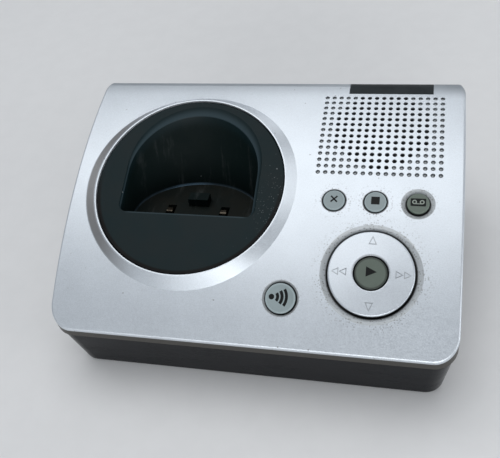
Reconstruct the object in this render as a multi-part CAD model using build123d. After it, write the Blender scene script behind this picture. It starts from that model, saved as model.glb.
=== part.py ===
from build123d import *
import math
import os

os.makedirs("parts", exist_ok=True)

# Base unit of a cordless phone: a charging cradle with an answering machine.
# Millimetres. +X to the right of someone in front of it, +Y to its rear, +Z up.
# The origin is on the table, under the middle of the case.

# Cover shell
cover_width = 148.5
cover_depth = 107.2
front_edge_height = 28.0
front_slope = 33.0
top_radius = 211.3
rear_edge_radius = 5.5
rear_round_relief = 0.02
plan_corner_radius = 8.5
edge_round = 0.9
cover_wall = 2.2
front_lip_height = 4.2
rear_seam_height = 44.0
cover_boss_overlap = 0.3
bore_margin = 1.0

# Lower case
case_wall = 2.2
case_floor = 2.4
case_ground_gap = 1.2
case_seam_inset = 0.8
case_bottom_inset = 3.3
case_corner_radius = 7.0
case_feature_inset = 0.5

# Rubber feet
foot_radius = 4.5
foot_height = 2.0
foot_edge_round = 0.4
foot_recess_gap = 0.1
front_foot_side_inset = 13.25
rear_foot_side_inset = 20.25
foot_end_inset = 11.1

# Cradle: a flat disc in a raised collar, with a leaning pocket for the handset
cradle_x = -26.9
cradle_s = 59.05
disc_radius = 36.9
disc_fit = 0.25
disc_height = 0.2
disc_thickness = 2.2
disc_edge_round = 0.4
collar_top_height = 0.8
collar_outer_radius = 41.56
collar_land = 0.7
collar_buried = 0.35
collar_steps = 7
skirt_thickness = 2.0
skirt_depth = 11.0
pocket_radius = 26.0
pocket_arch_v = 5.8
pocket_front_v = -12.5
pocket_corner_radius = 3.5
pocket_lean = 24.0
pocket_depth = 16.4
pocket_floor_tilt = -8.0
pocket_wall = 2.0
lip_depth = 1.0
lip_overrun = 0.2
lip_growth = 0.9
lip_shift_right = 0.45
lip_shift_rear = 1.7
lip_front = 0.45
key_block_width = 8.2
key_block_length = 4.5
key_block_height = 3.5
key_block_y = 12.4
ear_reach = 4.1
ear_half_width = 3.2
ear_thickness = 2.2
ear_angles = (90, 210, 330)
cradle_boss_radius = 2.75

# Sprung charging contacts under the pocket floor
contact_spacing = 22.2
contact_y = 6.7
contact_rise = 0.9
contact_width = 2.4
contact_thickness = 0.4
contact_arm = 9.2
contact_drop = 4.2
contact_slot_width = 3.6
contact_slot_length = 7.6
contact_root_length = 0.7
contact_foot_setback = 0.8
contact_hump_half = 1.1
contact_tail = 2.6
contact_tail_rise = 1.0
contact_bend_radius = 0.7
holder_width = 30.0
holder_length = 4.0
holder_height = 4.4
holder_slot_height = 1.3
holder_slot_depth = 1.2
holder_set_forward = 0.1

# Speaker and its grille
grille_x = 43.85
grille_columns = 17
grille_rows = 14
grille_pitch = 2.75
grille_first_s = 66.25
grille_open_row = 7.5
grille_hole_radius = 0.85
grille_open_radius = 18.3
grille_dimple_depth = 0.7
speaker_radius = 19.8
speaker_opening_radius = 16.2
speaker_drop = 4.4
speaker_rim_thickness = 1.0
speaker_ear_x = 22.8
speaker_ear_radius = 2.8
magnet_radius = 8.8
magnet_thickness = 4.5
gasket_inner_radius = 19.0
cloth_radius = 18.7
cloth_thickness = 0.3
cone_gap = 0.3
cone_thickness = 0.5
cone_edge_width = 2.8
cone_neck_height = 2.6
dust_cap_rise = 1.2
basket_depth = 7.4
basket_wall = 0.9
basket_neck_gap = 0.7
coil_inner_radius = 3.9
coil_outer_radius = 4.3
coil_reach = 3.0
pole_radius = 3.4
pole_rise = 0.6
magnet_bore_radius = 4.9
yoke_thickness = 1.2
yoke_inset = 0.4
speaker_boss_radius = 2.5

# Bare name plate on the rear edge of the cover
label_left = 30.2
label_right = 62.3
label_length = 9.3
label_drop = 3.15
label_thickness = 0.25
label_gap = 0.15
label_relief = 0.02

# Keys
key_row_s = 54.7
erase_key_x = 28.9
stop_key_x = 43.65
message_key_x = 58.5
small_key_radius = 3.9
small_key_hole_radius = 4.3
small_key_flange_radius = 5.1
message_dish_radius = 5.9
message_dish_depth = 0.9
locator_key_x = 13.1
locator_key_s = 17.4
locator_key_radius = 5.4
locator_hole_radius = 5.8
locator_rim_radius = 6.6
locator_flange_radius = 6.6
key_cap_height = 0.6
key_flange_thickness = 1.0
key_flange_gap = 0.25
key_stem_radius = 1.5
key_stem_end = 5.2
key_edge_round = 0.4
key_travel = 0.8
dome_gap = 0.15
dome_top_radius = 1.7
dome_base_radius = 2.6

# Four-way ring round the play key
nav_x = 43.8
nav_s = 28.2
nav_dish_radius = 17.8
nav_dish_depth = 1.2
nav_hole_radius = 15.6
ring_radius = 14.9
ring_bore_radius = 6.15
ring_edge_height = 0.9
ring_bore_height = 1.3
ring_shell = 1.6
ring_skirt = 1.2
ring_bottom = 4.8
ring_flange_radius = 16.4
ring_flange_top = 3.9
ring_round = 0.6
ring_mark_depth = 0.2
ring_mark_line = 0.3
ring_mark_radius = 11.8
ring_mark_width = 2.9
ring_mark_length = 3.2
side_mark_radius = 11.1
side_mark_width = 2.8
side_mark_length = 2.7
side_mark_pitch = 2.8
play_key_radius = 5.7
play_key_height = 1.2
play_flange_radius = 7.4
play_flange_top = 4.3
play_stem_end = 6.4
rocker_inner_radius = 6.7
rocker_outer_radius = 13.2
rocker_top = 2.7
rocker_thickness = 0.9
pivot_radius = 0.7
pivot_inner = 8.0
pivot_outer = 9.8
pivot_gap = 0.15
pivot_sink = 0.42
press_foot_offset = 11.3
press_foot_radius = 1.2
press_foot_end = 5.6
press_foot_gap = 0.6
press_travel = 0.6

# Control board and silicone key mat
board_depth = 9.6
board_thickness = 1.6
board_left = 14.0
board_right = 61.5
board_half_length = 26.0
board_tab_left = 3.0
board_tab_rear = -8.5
mat_thickness = 1.0
mat_margin = 1.0
mat_boss_gap = 0.4
mat_lamp_gap = 0.3
board_screw_spots = ((20.5, 22.0), (51.1, 23.4), (24.0, -23.2), (59.0, -23.4))
lamp_size = (3.2, 1.6, 1.9)
lamp_offset = 4.6
lamp_setback = 1.0
board_boss_radius = 2.3

# Main board, jacks and parts on it
main_board_height = 8.2
main_board_side_inset = 15.25
main_board_front_inset = 15.6
main_board_rear_inset = 7.2
main_screw_side_inset = 5.0
main_screw_front_inset = 7.0
main_screw_rear_inset = 16.4
jack_spacing = 20.0
line_jack_width = 13.2
line_jack_length = 14.6
line_jack_height = 12.0
line_cavity_width = 10.2
line_cavity_height = 7.6
line_cavity_depth = 10.5
line_latch_width = 3.8
line_latch_height = 1.8
line_wire_pitch = 1.02
line_wire_size = 0.45
line_wire_count = 4
line_wire_setback = 1.0
dc_jack_board_inset = 11.0
dc_jack_width = 9.4
dc_jack_length = 12.6
dc_jack_height = 11.0
dc_nose_radius = 4.3
dc_nose_length = 2.4
dc_bore_radius = 2.85
dc_bore_depth = 9.0
dc_pin_radius = 1.0
dc_pin_setback = 1.0
jack_face_inset = 3.2
panel_gap = 0.3
panel_cut_length = 20.0
standoff_radius = 2.5
shield_x = 6.0
shield_y = 28.0
shield_width = 36.0
shield_length = 26.0
shield_height = 4.5
shield_wall = 0.4
chip_x = 4.0
chip_y = -14.0
chip_width = 16.0
chip_height = 1.6
transformer_board_inset = 31.0
transformer_y = 12.0
transformer_width = 14.0
transformer_length = 13.0
transformer_height = 11.0
core_thickness = 3.0
winding_radius = 3.6
capacitor_board_inset = 9.0
capacitor_rear_y = 14.0
capacitor_pitch = 10.0
capacitor_count = 3
capacitor_radius = 3.9
capacitor_height = 12.0
antenna_board_inset = 5.0
antenna_y = 18.0
antenna_rise = 30.2
antenna_tip_y = 34.0
antenna_tip_rise = 6.0
antenna_radius = 0.8
antenna_bend_radius = 4.0

# Ribbon between the two boards
ribbon_width = 12.0
ribbon_x = 37.0
ribbon_thickness = 0.4
ribbon_board_y = 2.0
ribbon_foot_y = -2.0
ribbon_lead = 4.0
ribbon_foot_lead = 6.0
ribbon_bend_radius = 2.5
socket_height = 3.0
socket_length = 4.0
socket_wall = 1.5

# Fasteners
case_screw_side_inset = 7.95
case_screw_front_inset = 22.6
case_screw_rear_inset = 10.6
case_screw_radius = 1.5
case_screw_length = 12.0
post_radius = 3.0
front_post_foot = 12.0
rear_post_foot = 26.0
well_wall = 1.6
small_screw_radius = 1.15
case_head_radius = 2.7
case_head_height = 1.8
case_screw_web = 3.0
small_screw_length = 5.5
small_head_radius = 2.1
small_head_height = 1.4
main_screw_length = 5.5
cradle_screw_length = 5.4
speaker_screw_length = 3.0
screw_fit = 0.05
screw_end_gap = 0.2
thread_clearance = 0.25
head_round_share = 0.4
slot_length_share = 1.1
slot_width_share = 0.28
slot_depth_share = 0.55

# Values worked out from the sizes above
half_width = cover_width / 2
half_depth = cover_depth / 2
slope_front = math.radians(front_slope)
arc_y = -half_depth + top_radius * math.sin(slope_front)
arc_z = front_edge_height - top_radius * math.cos(slope_front)
slope_rear = math.asin(
    (top_radius * math.sin(slope_front) + rear_edge_radius - cover_depth) / (top_radius - rear_edge_radius)
)
rear_round_y = arc_y - (top_radius - rear_edge_radius) * math.sin(slope_rear)
rear_round_z = arc_z + (top_radius - rear_edge_radius) * math.cos(slope_rear)
seam_front_height = front_edge_height - front_lip_height
seam_slope = math.atan2(rear_seam_height - seam_front_height, cover_depth)
case_inner_floor = case_ground_gap + case_floor
ear_radius = disc_radius + ear_reach
case_screw_x = half_width - case_screw_side_inset
case_screw_front_y = case_screw_front_inset - half_depth
case_screw_rear_y = half_depth - case_screw_rear_inset
front_foot_x = half_width - front_foot_side_inset
rear_foot_x = half_width - rear_foot_side_inset
foot_rear_y = half_depth - foot_end_inset
main_board_x = half_width - main_board_side_inset
main_board_front = main_board_front_inset - half_depth
main_board_rear = half_depth - main_board_rear_inset
main_screw_x = main_board_x - main_screw_side_inset
main_screw_front_y = main_board_front + main_screw_front_inset
main_screw_rear_y = main_board_rear - main_screw_rear_inset
jack_face_y = half_depth - jack_face_inset
dc_jack_x = dc_jack_board_inset - main_board_x
line_jack_x = dc_jack_x + jack_spacing
transformer_x = transformer_board_inset - main_board_x
capacitor_x = capacitor_board_inset - main_board_x
antenna_x = antenna_board_inset - main_board_x
board_top = main_board_height + board_thickness
dc_axis = board_top + dc_jack_height / 2
speaker_floor = speaker_drop + basket_depth
cone_rim = speaker_opening_radius - cone_gap
ring_ceiling = ring_edge_height - ring_shell
upper_pivot = ring_ceiling - pivot_gap - pivot_radius
lower_pivot = -rocker_top - rocker_thickness - pivot_sink
size_match = 0.01
BOTTOM = (Align.CENTER, Align.CENTER, Align.MIN)
TOP = (Align.CENTER, Align.CENTER, Align.MAX)


def slope_at(s):
    """Slope of the cover, in radians, at the distance s along it from the front edge."""
    return slope_front - s / top_radius


def surface_plane(x, s):
    """Plane that touches the cover at (x, s): local x to the right, local y uphill."""
    slope = slope_at(s)
    origin = (x, arc_y - top_radius * math.sin(slope), arc_z + top_radius * math.cos(slope))
    return Plane(origin=origin, x_dir=(1, 0, 0), z_dir=(0, -math.sin(slope), math.cos(slope)))


def seam_plane():
    """Sloping plane in which the cover sits on the lower case."""
    origin = (0, -half_depth, seam_front_height)
    return Plane(origin=origin, x_dir=(1, 0, 0), z_dir=(0, -math.sin(seam_slope), math.cos(seam_slope)))


def disc(radius, low, high):
    """Upright round solid between two heights."""
    return Pos(0, 0, low) * Cylinder(radius, high - low, align=BOTTOM)


def block(size_x, size_y, size_z, x=0.0, y=0.0, z=0.0):
    """Box standing on the point (x, y, z)."""
    return Pos(x, y, z) * Box(size_x, size_y, size_z, align=BOTTOM)


def save(name, shape):
    """Write one node."""
    shape.label = name
    export_step(shape, f"parts/{name}.step")


def group(solids):
    """Separate solids kept together in one node."""
    return Compound(children=[item for part in solids for item in part.solids()])


# Cover and case outlines
def cover_block(inset, softening=0.0):
    """Solid under the cover's outer surface, drawn in by inset, with its upper edges softened or sharp."""
    radius = top_radius - inset
    front_y = -half_depth + inset
    rear_y = half_depth - inset
    start = math.asin((arc_y - front_y) / radius)
    end = math.asin((arc_y - rear_y) / radius)

    def on_top(slope):
        return (arc_y - radius * math.sin(slope), arc_z + radius * math.cos(slope))

    outline = [
        Line((front_y, 0), on_top(start)),
        ThreePointArc(on_top(start), on_top((start + end) / 2), on_top(end)),
        Line(on_top(end), (rear_y, 0)),
        Line((rear_y, 0), (front_y, 0)),
    ]
    body = extrude(Plane.YZ * make_face(outline), cover_width / 2 - inset, both=True)
    body = fillet(body.edges().filter_by(Axis.Z), plan_corner_radius - inset)
    if softening:
        body = fillet([edge for edge in body.edges() if is_upper_edge(edge, radius)], softening)
    return body - rear_round_cut(inset)


def is_upper_edge(edge, radius):
    """True for the edges that lie on the curved top."""
    middle = edge.position_at(0.5)
    return abs(math.hypot(middle.Y - arc_y, middle.Z - arc_z) - radius) < size_match


def rear_round_cut(inset):
    """What is cut away to round the rear upper edge of the cover."""
    radius = rear_edge_radius - inset
    front_y = rear_round_y - radius * math.sin(slope_rear)
    length = half_depth + bore_margin - front_y
    corner = block(2 * cover_width, length, cover_depth, 0, front_y + length / 2, rear_round_z)
    bar = Pos(0, rear_round_y, rear_round_z) * Rot(0, 90, 0)
    return corner - bar * Cylinder(radius + rear_round_relief, 3 * cover_width)


def case_block(inset, bottom, above_seam=0.0):
    """Tapered solid of the lower case, from a level plane up to the sloping seam."""
    low = RectangleRounded(
        cover_width - 2 * (case_bottom_inset + inset),
        cover_depth - 2 * (case_bottom_inset + inset),
        case_corner_radius - inset,
    )
    high_depth = cover_depth - 2 * (case_seam_inset + inset)
    high = RectangleRounded(
        cover_width - 2 * (case_seam_inset + inset),
        high_depth / math.cos(seam_slope),
        case_corner_radius - inset,
    )
    middle = cover_depth / (2 * math.cos(seam_slope))
    top = seam_plane() * Pos(0, middle, above_seam) * high
    return loft([Pos(0, 0, bottom) * low, top], ruled=True)


# Cradle frame: local x to the right, y uphill, z out of the disc
cradle_plane = surface_plane(cradle_x, cradle_s)
lean = math.radians(pocket_lean)
pocket_axis = Vector(0, math.sin(lean), math.cos(lean))
floor_tilt = math.radians(pocket_floor_tilt)
floor_plane = Plane(
    origin=cradle_plane.origin - pocket_axis * pocket_depth,
    x_dir=(1, 0, 0),
    z_dir=(0, -math.sin(floor_tilt), math.cos(floor_tilt)),
)


def cover_height(v):
    """Height of the cover's outer surface over its tangent plane, v away from the touching line."""
    return math.sqrt(top_radius**2 - v**2) - top_radius


def collar_section(angle):
    """Radial section of the collar: a narrow land round the disc, and a flank down to the cover."""
    turn = math.radians(angle)
    radial = cradle_plane.x_dir * math.cos(turn) + cradle_plane.y_dir * math.sin(turn)
    plane = Plane(cradle_plane.origin, x_dir=radial, z_dir=radial.cross(cradle_plane.z_dir))
    inner = disc_radius
    outer = collar_outer_radius
    foot = cover_height(outer * math.sin(turn))
    fall = (collar_top_height - foot) / (outer - inner - collar_land)
    points = [
        (inner, collar_top_height),
        (inner + collar_land, collar_top_height),
        (outer + collar_buried, foot - fall * collar_buried),
        (outer + collar_buried, foot - cover_wall / 2),
        (inner, cover_height(inner * math.sin(turn)) - cover_wall),
    ]
    return plane * Polygon(*points, align=None)


def cradle_collar():
    """Raised ring round the disc, of even width in plan, steep at front and rear."""
    step = 90 / (collar_steps - 1)
    quarter = loft([collar_section(step * i) for i in range(collar_steps)])
    side = Plane(cradle_plane.origin, x_dir=cradle_plane.y_dir, z_dir=cradle_plane.x_dir)
    across = Plane(cradle_plane.origin, x_dir=cradle_plane.x_dir, z_dir=cradle_plane.y_dir)
    half = quarter + mirror(quarter, about=side)
    return half + mirror(half, about=across)


def hole_spots():
    """Place of each grille hole, and whether it goes through to the speaker."""
    middle_s = grille_first_s + grille_open_row * grille_pitch
    for row in range(grille_rows):
        for column in range(grille_columns):
            dx = (column - (grille_columns - 1) / 2) * grille_pitch
            s = grille_first_s + row * grille_pitch
            yield grille_x + dx, s, math.hypot(dx, s - middle_s) < grille_open_radius


def grille_cuts():
    """Perforations over the speaker, and the shallow dimples that carry their pattern on."""
    cuts = []
    for x, s, is_open in hole_spots():
        depth = 2 * cover_wall if is_open else grille_dimple_depth
        cuts.append(surface_plane(x, s) * disc(grille_hole_radius, -depth, bore_margin))
    return cuts


def cone_cut(top_radius_, top_height, low_radius, low_height):
    """Conical sink between two heights, carried on above the surface."""
    grow = (top_radius_ - low_radius) / (top_height - low_height)
    rise = 0.5
    cone = Cone(low_radius, top_radius_ + grow * rise, top_height - low_height + rise, align=BOTTOM)
    return Pos(0, 0, low_height) * cone


def key_holes():
    """Openings of the cover for the keys, with their dished or chamfered rims."""
    through = 3 * cover_wall
    cuts = []
    for x in (erase_key_x, stop_key_x, message_key_x):
        cuts.append(surface_plane(x, key_row_s) * disc(small_key_hole_radius, -through, bore_margin))
    dish = cone_cut(message_dish_radius, 0, small_key_hole_radius, -message_dish_depth)
    cuts.append(surface_plane(message_key_x, key_row_s) * dish)
    locator = surface_plane(locator_key_x, locator_key_s)
    chamfer = cone_cut(locator_rim_radius, 0, locator_hole_radius, locator_hole_radius - locator_rim_radius)
    cuts.append(locator * disc(locator_hole_radius, -through, bore_margin))
    cuts.append(locator * chamfer)
    nav = surface_plane(nav_x, nav_s)
    cuts.append(nav * disc(nav_hole_radius, -through, bore_margin))
    cuts.append(nav * cone_cut(nav_dish_radius, 0, nav_hole_radius, -nav_dish_depth))
    return cuts


def case_screw_spots():
    """Screw places and the height at which each cover post ends."""
    return [
        (side * case_screw_x, y, foot)
        for side in (-1, 1)
        for y, foot in ((case_screw_front_y, front_post_foot), (case_screw_rear_y, rear_post_foot))
    ]


def cover_posts():
    """Posts inside the cover that take the case screws."""
    posts = []
    for x, y, foot in case_screw_spots():
        post = disc(post_radius, foot, cover_depth)
        post -= disc(case_screw_radius - screw_fit, foot, foot + case_screw_length)
        posts.append(Pos(x, y, 0) * post)
    return posts


# Control board frame: parallel to the chord from the locator key to the key row
def board_plane():
    """Top face of the control board, local x to the right, local y uphill, x as in the whole unit."""
    low = surface_plane(0, locator_key_s).origin
    high = surface_plane(0, key_row_s).origin
    uphill = (high - low).normalized()
    normal = Vector(1, 0, 0).cross(uphill)
    return Plane(origin=(low + high) * 0.5 - normal * board_depth, x_dir=(1, 0, 0), z_dir=normal)


def board_bosses():
    """Bosses under the cover that carry the control board."""
    bosses = []
    for x, y in board_screw_spots:
        boss = disc(board_boss_radius, 0, 3 * board_depth)
        boss -= disc(small_screw_radius + screw_fit, 0, small_screw_length - board_thickness + screw_end_gap)
        bosses.append(board_plane() * Pos(x, y, 0) * boss)
    return bosses


def ear_locations():
    """Places of the cradle's fixing ears, turned to point outwards."""
    return [cradle_plane * Rot(0, 0, angle) * Pos(ear_radius, 0, 0) for angle in ear_angles]


def cradle_bosses():
    """Bosses under the cover that take the cradle screws."""
    ear_top = -skirt_depth + ear_thickness
    return [place * disc(cradle_boss_radius, ear_top, bore_margin) for place in ear_locations()]


def cradle_pilots():
    """Screw holes in the cradle bosses."""
    ear_top = -skirt_depth + ear_thickness
    depth = cradle_screw_length - ear_thickness + screw_end_gap
    pilot = disc(small_screw_radius + screw_fit, ear_top, ear_top + depth)
    return [place * pilot for place in ear_locations()]


grille_plane = surface_plane(grille_x, grille_first_s + grille_open_row * grille_pitch)


def speaker_bosses():
    """Bosses under the cover beside the speaker."""
    hole_depth = speaker_screw_length - speaker_rim_thickness + screw_end_gap
    boss = disc(speaker_boss_radius, -speaker_drop, bore_margin)
    boss -= disc(small_screw_radius + screw_fit, -speaker_drop, -speaker_drop + hole_depth)
    return [grille_plane * Pos(side * speaker_ear_x, 0, 0) * boss for side in (-1, 1)]


def label_region(gap):
    """Box that bounds the plate, or its sunk bed with the gap added."""
    front_y = half_depth - label_length - gap
    width = label_right - label_left + 2 * gap
    length = half_depth + bore_margin - front_y
    low = rear_round_z - label_drop - gap
    return block(width, length, cover_depth, (label_left + label_right) / 2, front_y + length / 2, low)


def top_cover():
    """Painted shell with the collar, the grille and the key openings."""
    shell = cover_block(0, edge_round) - cover_block(cover_wall)
    shell -= label_region(label_gap) - cover_block(label_thickness)
    shell += cradle_collar()
    near_wall = cover_block(cover_wall - cover_boss_overlap)
    for part in cover_posts() + board_bosses() + cradle_bosses() + speaker_bosses():
        shell += part & near_wall
    shell -= cradle_pilots()
    well_top = collar_top_height + bore_margin
    shell -= cradle_plane * disc(disc_radius + disc_fit, -skirt_depth + ear_thickness, well_top)
    shell -= key_holes()
    shell -= grille_cuts()
    below = seam_plane() * Box(2 * cover_width, 4 * cover_depth, cover_depth, align=TOP)
    wells = [Pos(x, y, 0) * disc(post_radius, foot, cover_depth) for x, y, foot in case_screw_spots()]
    for well in wells:
        below -= well
    return shell - below


def rear_label():
    """Thin bare plate that follows the rear edge."""
    return (label_region(0) & cover_block(0)) - cover_block(label_thickness - label_relief)


# Cradle insert
def pocket_outline(grow, lip=0.0):
    """Mouth of the pocket in the disc: an arch towards the rear, straight at the front.

    A lip of 1 opens it to the outer line of its flared edge, which is widest at the right rear.
    """
    radius = pocket_radius + grow + lip * lip_growth
    front = pocket_front_v - grow - lip * lip_front
    arch_v = pocket_arch_v + lip * lip_shift_rear
    corner = pocket_corner_radius + grow
    straight = Pos(0, (arch_v + front) / 2) * Rectangle(2 * radius, arch_v - front)
    arch = Circle(radius) & (Pos(0, radius / 2) * Rectangle(2 * radius, radius))
    outline = straight + Pos(0, arch_v) * arch
    low = outline.vertices().sort_by(Axis.Y)[0:2]
    return Pos(lip * lip_shift_right, 0) * fillet(low, corner)


def flared_mouth():
    """What the flared edge takes from the disc round the pocket's mouth."""
    drift = math.tan(lean + slope_at(cradle_s))
    sections = []
    for lip in (-lip_overrun, 1 + lip_overrun):
        height = disc_height - (1 - lip) * lip_depth
        place = cradle_plane * Pos(0, height * drift, height)
        sections.append(place * pocket_outline(0, lip))
    return loft(sections, ruled=True)


def pocket_prism(grow, above, below):
    """Pocket shape carried along the handset's own leaning axis."""
    face = cradle_plane * pocket_outline(grow)
    start = Pos(*(pocket_axis * above)) * face
    return extrude(start, above + below, dir=-pocket_axis)


def half_space(plane, size):
    """Large box above a plane."""
    return plane * Box(size, size, size, align=BOTTOM)


def cradle_insert():
    """Dark moulding: disc, skirt with ears, and the leaning handset pocket with its floor."""
    body = cradle_plane * disc(disc_radius, disc_height - disc_thickness, disc_height)
    skirt = disc(disc_radius, -skirt_depth, disc_height)
    skirt -= disc(disc_radius - skirt_thickness, -skirt_depth, disc_height)
    body += cradle_plane * skirt
    tub = pocket_prism(pocket_wall, 0, 3 * pocket_depth)
    tub &= half_space(floor_plane.offset(-pocket_wall), 4 * disc_radius)
    tub -= half_space(cradle_plane, 4 * disc_radius)
    body += tub
    pocket = pocket_prism(0, pocket_depth, 3 * pocket_depth) & half_space(floor_plane, 4 * disc_radius)
    body -= pocket
    body -= flared_mouth()
    body = fillet([edge for edge in body.edges() if is_disc_rim(edge)], disc_edge_round)
    sunk = pocket_wall / 2
    key_block = block(key_block_width, key_block_length, key_block_height + sunk)
    body += floor_plane * Pos(0, key_block_y, -sunk) * key_block
    for side in (-1, 1):
        slot = block(contact_slot_width, contact_slot_length, 3 * pocket_wall)
        body -= floor_plane * Pos(side * contact_spacing / 2, contact_y, -2 * pocket_wall) * slot
    for place in ear_locations():
        length = ear_radius - disc_radius + skirt_thickness
        ear = disc(ear_half_width, 0, ear_thickness)
        ear += block(length, 2 * ear_half_width, ear_thickness, -length / 2)
        ear -= disc(small_screw_radius + thread_clearance, 0, ear_thickness)
        body += place * Pos(0, 0, -skirt_depth) * ear
    return body


def is_disc_rim(edge):
    """True for the round upper edge of the disc."""
    if edge.geom_type != GeomType.CIRCLE or abs(edge.radius - disc_radius) > size_match:
        return False
    return abs(cradle_plane.to_local_coords(edge.center()).Z - disc_height) < size_match


def contact_path():
    """Side view of a contact spring, in the frame of the pocket floor (y, z)."""
    pivot_y = contact_y + contact_arm
    foot_y = contact_y + contact_slot_length / 2 - contact_foot_setback
    return FilletPolyline(
        (pivot_y + contact_root_length, -contact_drop),
        (foot_y, -contact_drop),
        (contact_y + contact_hump_half, contact_rise),
        (contact_y - contact_hump_half, contact_rise),
        (contact_y - contact_tail, -contact_drop + contact_tail_rise),
        radius=contact_bend_radius,
    )


def charge_contact(side):
    """Bent spring strip whose hump stands in the pocket."""
    strip = trace(contact_path(), contact_thickness)
    plane = Plane(floor_plane.origin, x_dir=floor_plane.y_dir, z_dir=floor_plane.x_dir)
    solid = extrude(plane * strip, contact_width / 2, both=True)
    return Pos(side * contact_spacing / 2, 0, 0) * solid


def contact_holder():
    """Plastic block under the pocket floor that carries the roots of both contacts."""
    front = contact_y + contact_arm - holder_set_forward
    low = -pocket_wall - holder_height
    body = block(holder_width, holder_length, holder_height, 0, front + holder_length / 2, low)
    for side in (-1, 1):
        slot = block(contact_slot_width, 2 * holder_slot_depth, holder_slot_height)
        body -= Pos(side * contact_spacing / 2, front, -contact_drop - holder_slot_height / 2) * slot
    return floor_plane * body


# Keys
def round_key(plane, radius, flange_radius, height):
    """Round cap with a flange that holds it under the cover and a stem over its dome."""
    flange_top = -cover_wall - key_flange_gap
    cap = disc(radius, flange_top - key_flange_thickness, height)
    cap = fillet(cap.edges().sort_by(Axis.Z)[-1:], key_edge_round)
    cap += disc(flange_radius, flange_top - key_flange_thickness, flange_top)
    cap += disc(key_stem_radius, -key_stem_end, flange_top)
    return plane * cap


def small_key(x):
    """One of the three keys of the upper row."""
    return round_key(surface_plane(x, key_row_s), small_key_radius, small_key_flange_radius, key_cap_height)


def locator_key():
    """Handset locator key at the front left of the ring."""
    plane = surface_plane(locator_key_x, locator_key_s)
    return round_key(plane, locator_key_radius, locator_flange_radius, key_cap_height)


nav_plane = surface_plane(nav_x, nav_s)


def mark_triangle(width, length):
    """Outline of a small arrow mark that points along local +y."""
    points = [(-width / 2, -length / 2), (width / 2, -length / 2), (0, length / 2)]
    outer = Polygon(*points, align=None)
    return outer - offset(outer, -ring_mark_line, kind=Kind.INTERSECTION)


def ring_marks():
    """Arrow marks sunk in the ring: one at the rear and front, two at each side."""
    single = Pos(0, ring_mark_radius) * mark_triangle(ring_mark_width, ring_mark_length)
    marks = [single, Rot(0, 0, 180) * single]
    for side in (-1, 1):
        for step in (-side_mark_pitch / 2, side_mark_pitch / 2):
            arrow = Rot(0, 0, -90 * side) * mark_triangle(side_mark_width, side_mark_length)
            marks.append(Pos(side * side_mark_radius + step, 0) * arrow)
    slope = (ring_bore_height - ring_edge_height) / (ring_radius - ring_bore_radius)
    low = ring_edge_height + slope * (ring_radius - ring_mark_radius) - ring_mark_depth
    return [Pos(0, 0, low) * extrude(mark, bore_margin) for mark in marks]


def nav_ring():
    """Painted four-way ring, hollow below, with two press feet at its sides."""
    profile = Polyline(
        (ring_bore_radius, -ring_shell),
        (ring_bore_radius, ring_bore_height),
        (ring_radius, ring_edge_height),
        (ring_radius, -ring_flange_top),
        (ring_flange_radius, -ring_flange_top),
        (ring_flange_radius, -ring_bottom),
        (ring_radius - ring_skirt, -ring_bottom),
        (ring_radius - ring_skirt, ring_edge_height - ring_shell),
        (ring_bore_radius + ring_skirt, ring_edge_height - ring_shell),
        (ring_bore_radius + ring_skirt, -ring_shell),
        close=True,
    )
    ring = revolve(Plane.XZ * make_face(profile), Axis.Z)
    ring = fillet(rim_edges(ring, ring_radius), ring_round)
    ring = fillet(rim_edges(ring, ring_bore_radius), ring_round / 2)
    ring -= ring_marks()
    for side in (-1, 1):
        foot = disc(press_foot_radius, -press_foot_end, ring_edge_height - ring_shell)
        ring += Pos(side * press_foot_offset, 0, 0) * foot
    return nav_plane * ring


def rim_edges(ring, radius):
    """Round edges of one radius at the top of the ring."""
    rounds = [e for e in ring.edges() if e.geom_type == GeomType.CIRCLE and e.center().Z > 0]
    return [e for e in rounds if abs(e.radius - radius) < size_match]


def pivot_bar(height, along_x, side):
    """Half-round rib on which the ring or the rocker tilts."""
    length = pivot_outer - pivot_inner
    middle = side * (pivot_inner + pivot_outer) / 2
    if along_x:
        return Pos(middle, 0, height) * Rot(0, 90, 0) * Cylinder(pivot_radius, length)
    return Pos(0, middle, height) * Rot(90, 0, 0) * Cylinder(pivot_radius, length)


def nav_rocker():
    """Rocker under the ring: it tilts fore and aft, and the ring tilts sideways on it."""
    low = -rocker_top - rocker_thickness
    plate = disc(rocker_outer_radius, low, -rocker_top) - disc(rocker_inner_radius, low, -rocker_top)
    window = disc(press_foot_radius + press_foot_gap, low, -rocker_top)
    for side in (-1, 1):
        plate -= Pos(side * press_foot_offset, 0, 0) * window
        plate += Pos(0, side * press_foot_offset, 0) * disc(press_foot_radius, -press_foot_end, low)
        plate += pivot_bar(upper_pivot, False, side)
        length = pivot_outer - pivot_inner
        middle = side * (pivot_inner + pivot_outer) / 2
        plate += block(2 * pivot_radius, length, upper_pivot + rocker_top, 0, middle, -rocker_top)
        plate += pivot_bar(lower_pivot, True, side)
    return nav_plane * plate


def play_key():
    """Play key in the middle of the ring."""
    cap = disc(play_key_radius, -play_flange_top - key_flange_thickness, play_key_height)
    cap = fillet(cap.edges().sort_by(Axis.Z)[-1:], key_edge_round)
    cap += disc(play_flange_radius, -play_flange_top - key_flange_thickness, -play_flange_top)
    cap += disc(key_stem_radius, -play_stem_end, -play_flange_top)
    return nav_plane * cap


# Control board and key mat
def board_outline(margin):
    """Plan of the control board in its own plane."""
    width = board_right - board_left - 2 * margin
    main = Pos((board_left + board_right) / 2, 0) * Rectangle(width, 2 * (board_half_length - margin))
    low = -board_half_length + margin
    high = board_tab_rear - margin
    left = board_tab_left + margin
    right = board_left + 2 * margin
    return main + Pos((left + right) / 2, (low + high) / 2) * Rectangle(right - left, high - low)


def control_board():
    """Printed circuit board under the keys."""
    board = extrude(board_outline(0), -board_thickness)
    hole = disc(small_screw_radius + thread_clearance, -board_thickness, 0)
    for x, y in board_screw_spots:
        board -= Pos(x, y, 0) * hole
    return board_plane() * board


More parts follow.
